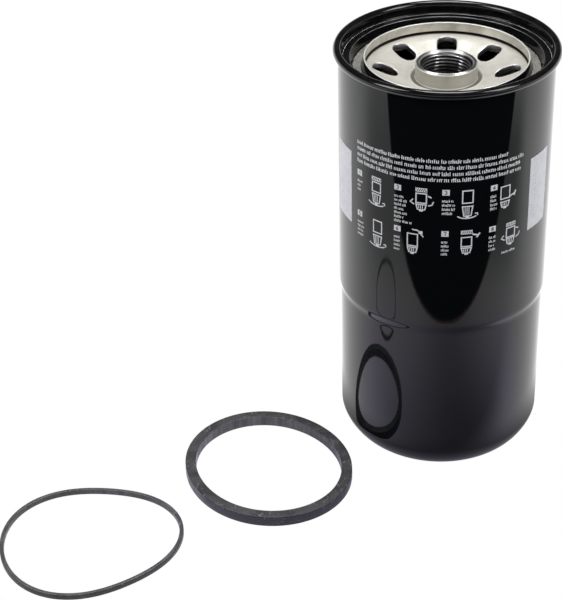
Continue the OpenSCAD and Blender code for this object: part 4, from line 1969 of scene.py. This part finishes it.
@dataclass
class Studio:
    """The camera, the white floor, a dark flag that only reflections show, and three soft lights."""

    camera_at: Point = (0.0, -0.79954, 0.58341)
    yaw: float = -0.10722
    pitch: float = 0.56526
    roll: float = -0.0318
    lens: float = 105.36
    sensor: float = 36.0
    nearest: float = 0.05
    floor_r: float = 4.0
    floor_z: float = -0.0003
    floor_steps: int = 64
    edge_y: float = -0.201
    edge_slope: float = 0.114
    edge_ends: Span = (-0.44, 0.5)
    flag_far: float = -1.5
    flag_z: float = -0.0001
    fringe_w: float = 0.006
    fringe: float = 0.4
    fringe_colour: Colour = (1.0, 0.55, 0.5)
    ambient: float = 0.3
    bounce: float = 0.3
    gloom: float = 0.04
    horizon: float = 0.8
    horizon_z: Span = (0.2, 0.08)
    softbox: float = 0.42
    softbox_watts: float = 5.5
    softbox_at: Point = (0.75, -0.35, 0.95)
    overhead: float = 0.34
    overhead_watts: float = 4.5
    overhead_at: Point = (0.0, 0.15, 1.1)
    aim: Point = (0.0, 0.0, 0.15)

    def camera(self) -> None:
        """Sets up the camera."""
        level = math.cos(self.pitch)
        ahead = Vector((math.sin(self.yaw) * level, math.cos(self.yaw) * level, -math.sin(self.pitch)))
        right = Vector((math.cos(self.yaw), -math.sin(self.yaw), 0.0))
        up = right.cross(ahead)
        across = right * math.cos(self.roll) + up * math.sin(self.roll)
        above = up * math.cos(self.roll) - right * math.sin(self.roll)
        data = bpy.data.cameras.new("camera")
        data.lens = self.lens
        data.sensor_width = self.sensor
        data.clip_start = self.nearest
        camera = bpy.data.objects.new("camera", data)
        axes = Matrix((across, above, -ahead)).transposed().to_4x4()
        camera.matrix_world = Matrix.Translation(self.camera_at) @ axes
        bpy.context.scene.collection.objects.link(camera)
        bpy.context.scene.camera = camera

    def world(self) -> None:
        """Sets up the surroundings: white to the eye, soft for matt surfaces and dim for glossy ones."""
        world = bpy.data.worlds.new("studio")
        nodes = Nodes.fresh(world)
        path = nodes.add("LightPath")
        height = nodes.split(nodes.add("TexCoord").outputs["Generated"])[2]
        horizon = nodes.product(nodes.ramp(height, *self.horizon_z), self.horizon)
        glossy = nodes.maths("ADD", self.gloom, horizon)
        dim = nodes.between(path.outputs["Is Glossy Ray"], self.ambient, glossy)
        strength = nodes.between(path.outputs["Is Camera Ray"], dim, 1.0)
        light = nodes.add("Background", Color=(1.0, 1.0, 1.0), Strength=strength)
        nodes.add("OutputWorld", Surface=light.outputs[0])
        bpy.context.scene.world = world

    def lay(self, name: str, nodes: Nodes, colour: Feed, strength: Feed,
            draft: MeshDraft) -> bpy.types.Object:
        """Finishes a sheet of the set that shines by itself.

        Args:
            name: the sheet's name, which its material has too.
            nodes: the nodes of its material.
            colour: the colour that it shines in.
            strength: how brightly it shines.
            draft: its shape.

        Returns:
            The sheet.
        """
        light = nodes.add("Emission", Color=colour, Strength=strength)
        nodes.add("OutputMaterial", Surface=light.outputs[0])
        sheet = draft.make(name)
        sheet.data.materials.append(bpy.data.materials[name])
        return sheet

    def floor(self) -> None:
        """Lays the floor, which is shaded in front of the can where reflections see it."""
        nodes = Nodes.fresh(bpy.data.materials.new("studio_floor"))
        shade = FloorShade()
        path = nodes.add("LightPath")
        seen = nodes.between(path.outputs["Is Diffuse Ray"], shade.brightness(nodes), self.bounce)
        strength = nodes.between(path.outputs["Is Camera Ray"], seen, 1.0)
        colour = nodes.blend(path.outputs["Is Camera Ray"], shade.colour(nodes), (1.0, 1.0, 1.0))
        draft = MeshDraft()
        across, level = self.floor_r / MM, self.floor_z / MM
        draft.points = [(*polar(across, a), level) for a in full_turn(self.floor_steps)]
        draft.faces = [tuple(range(self.floor_steps))]
        self.lay("studio_floor", nodes, colour, strength, draft)

    def flag(self) -> None:
        """Lays the dark flag in front of the set. Only glossy surfaces see it."""
        nodes = Nodes.fresh(bpy.data.materials.new("studio_flag"))
        x, y, _ = nodes.split(nodes.place()[0])
        edge = nodes.maths("ADD", nodes.product(x, self.edge_slope), self.edge_y)
        inside = nodes.maths("SUBTRACT", edge, y)
        fringe = nodes.product(nodes.ramp(inside, self.fringe_w, 0.0), self.fringe)
        left, right = self.edge_ends
        level = self.flag_z / MM
        near = [(x / MM, (self.edge_y + self.edge_slope * x) / MM, level) for x in (left, 0.0, right)]
        far = [(3 * x, self.flag_far / MM, level) for x, _, _ in near]
        draft = MeshDraft()
        draft.grid([near, far])
        flag = self.lay("studio_flag", nodes, self.fringe_colour, fringe, draft)
        for ray in ("camera", "diffuse", "transmission", "volume_scatter", "shadow"):
            setattr(flag, "visible_" + ray, False)

    def light(self, place: Point, size: float, watts: float) -> None:
        """Hangs a soft light, aimed at the set.

        Args:
            place: where it hangs.
            size: its width.
            watts: its power.
        """
        data = bpy.data.lights.new("softbox", "AREA")
        data.shape = "RECTANGLE"
        data.size = size
        data.size_y = 1.4 * size
        data.energy = watts
        light = bpy.data.objects.new("softbox", data)
        light.location = place
        light.rotation_mode = "QUATERNION"
        light.rotation_quaternion = (Vector(self.aim) - light.location).to_track_quat("-Z", "Y")
        bpy.context.scene.collection.objects.link(light)

    def lights(self) -> None:
        """Hangs a soft light at each side and one overhead."""
        out, along, up = self.softbox_at
        for side in (-1, 1):
            self.light((side * out, along, up), self.softbox, self.softbox_watts)
        self.light(self.overhead_at, self.overhead, self.overhead_watts)

    def build(self) -> None:
        """Sets up the studio."""
        self.camera()
        self.world()
        self.floor()
        self.flag()
        self.lights()
        bpy.context.scene.view_settings.view_transform = "Standard"
        log.info("studio ready")


def main() -> None:
    """Builds the studio and every piece."""
    logging.basicConfig(level=logging.INFO, format="%(message)s")
    Studio().build()
    CanShell().build()
    SeamCover().build()
    HeadPlate().build()
    BowlPort().build()
    FilterElement().build()
    LooseSeals().build()
    PrintedPanel().build()


if __name__ == "__main__":
    main()
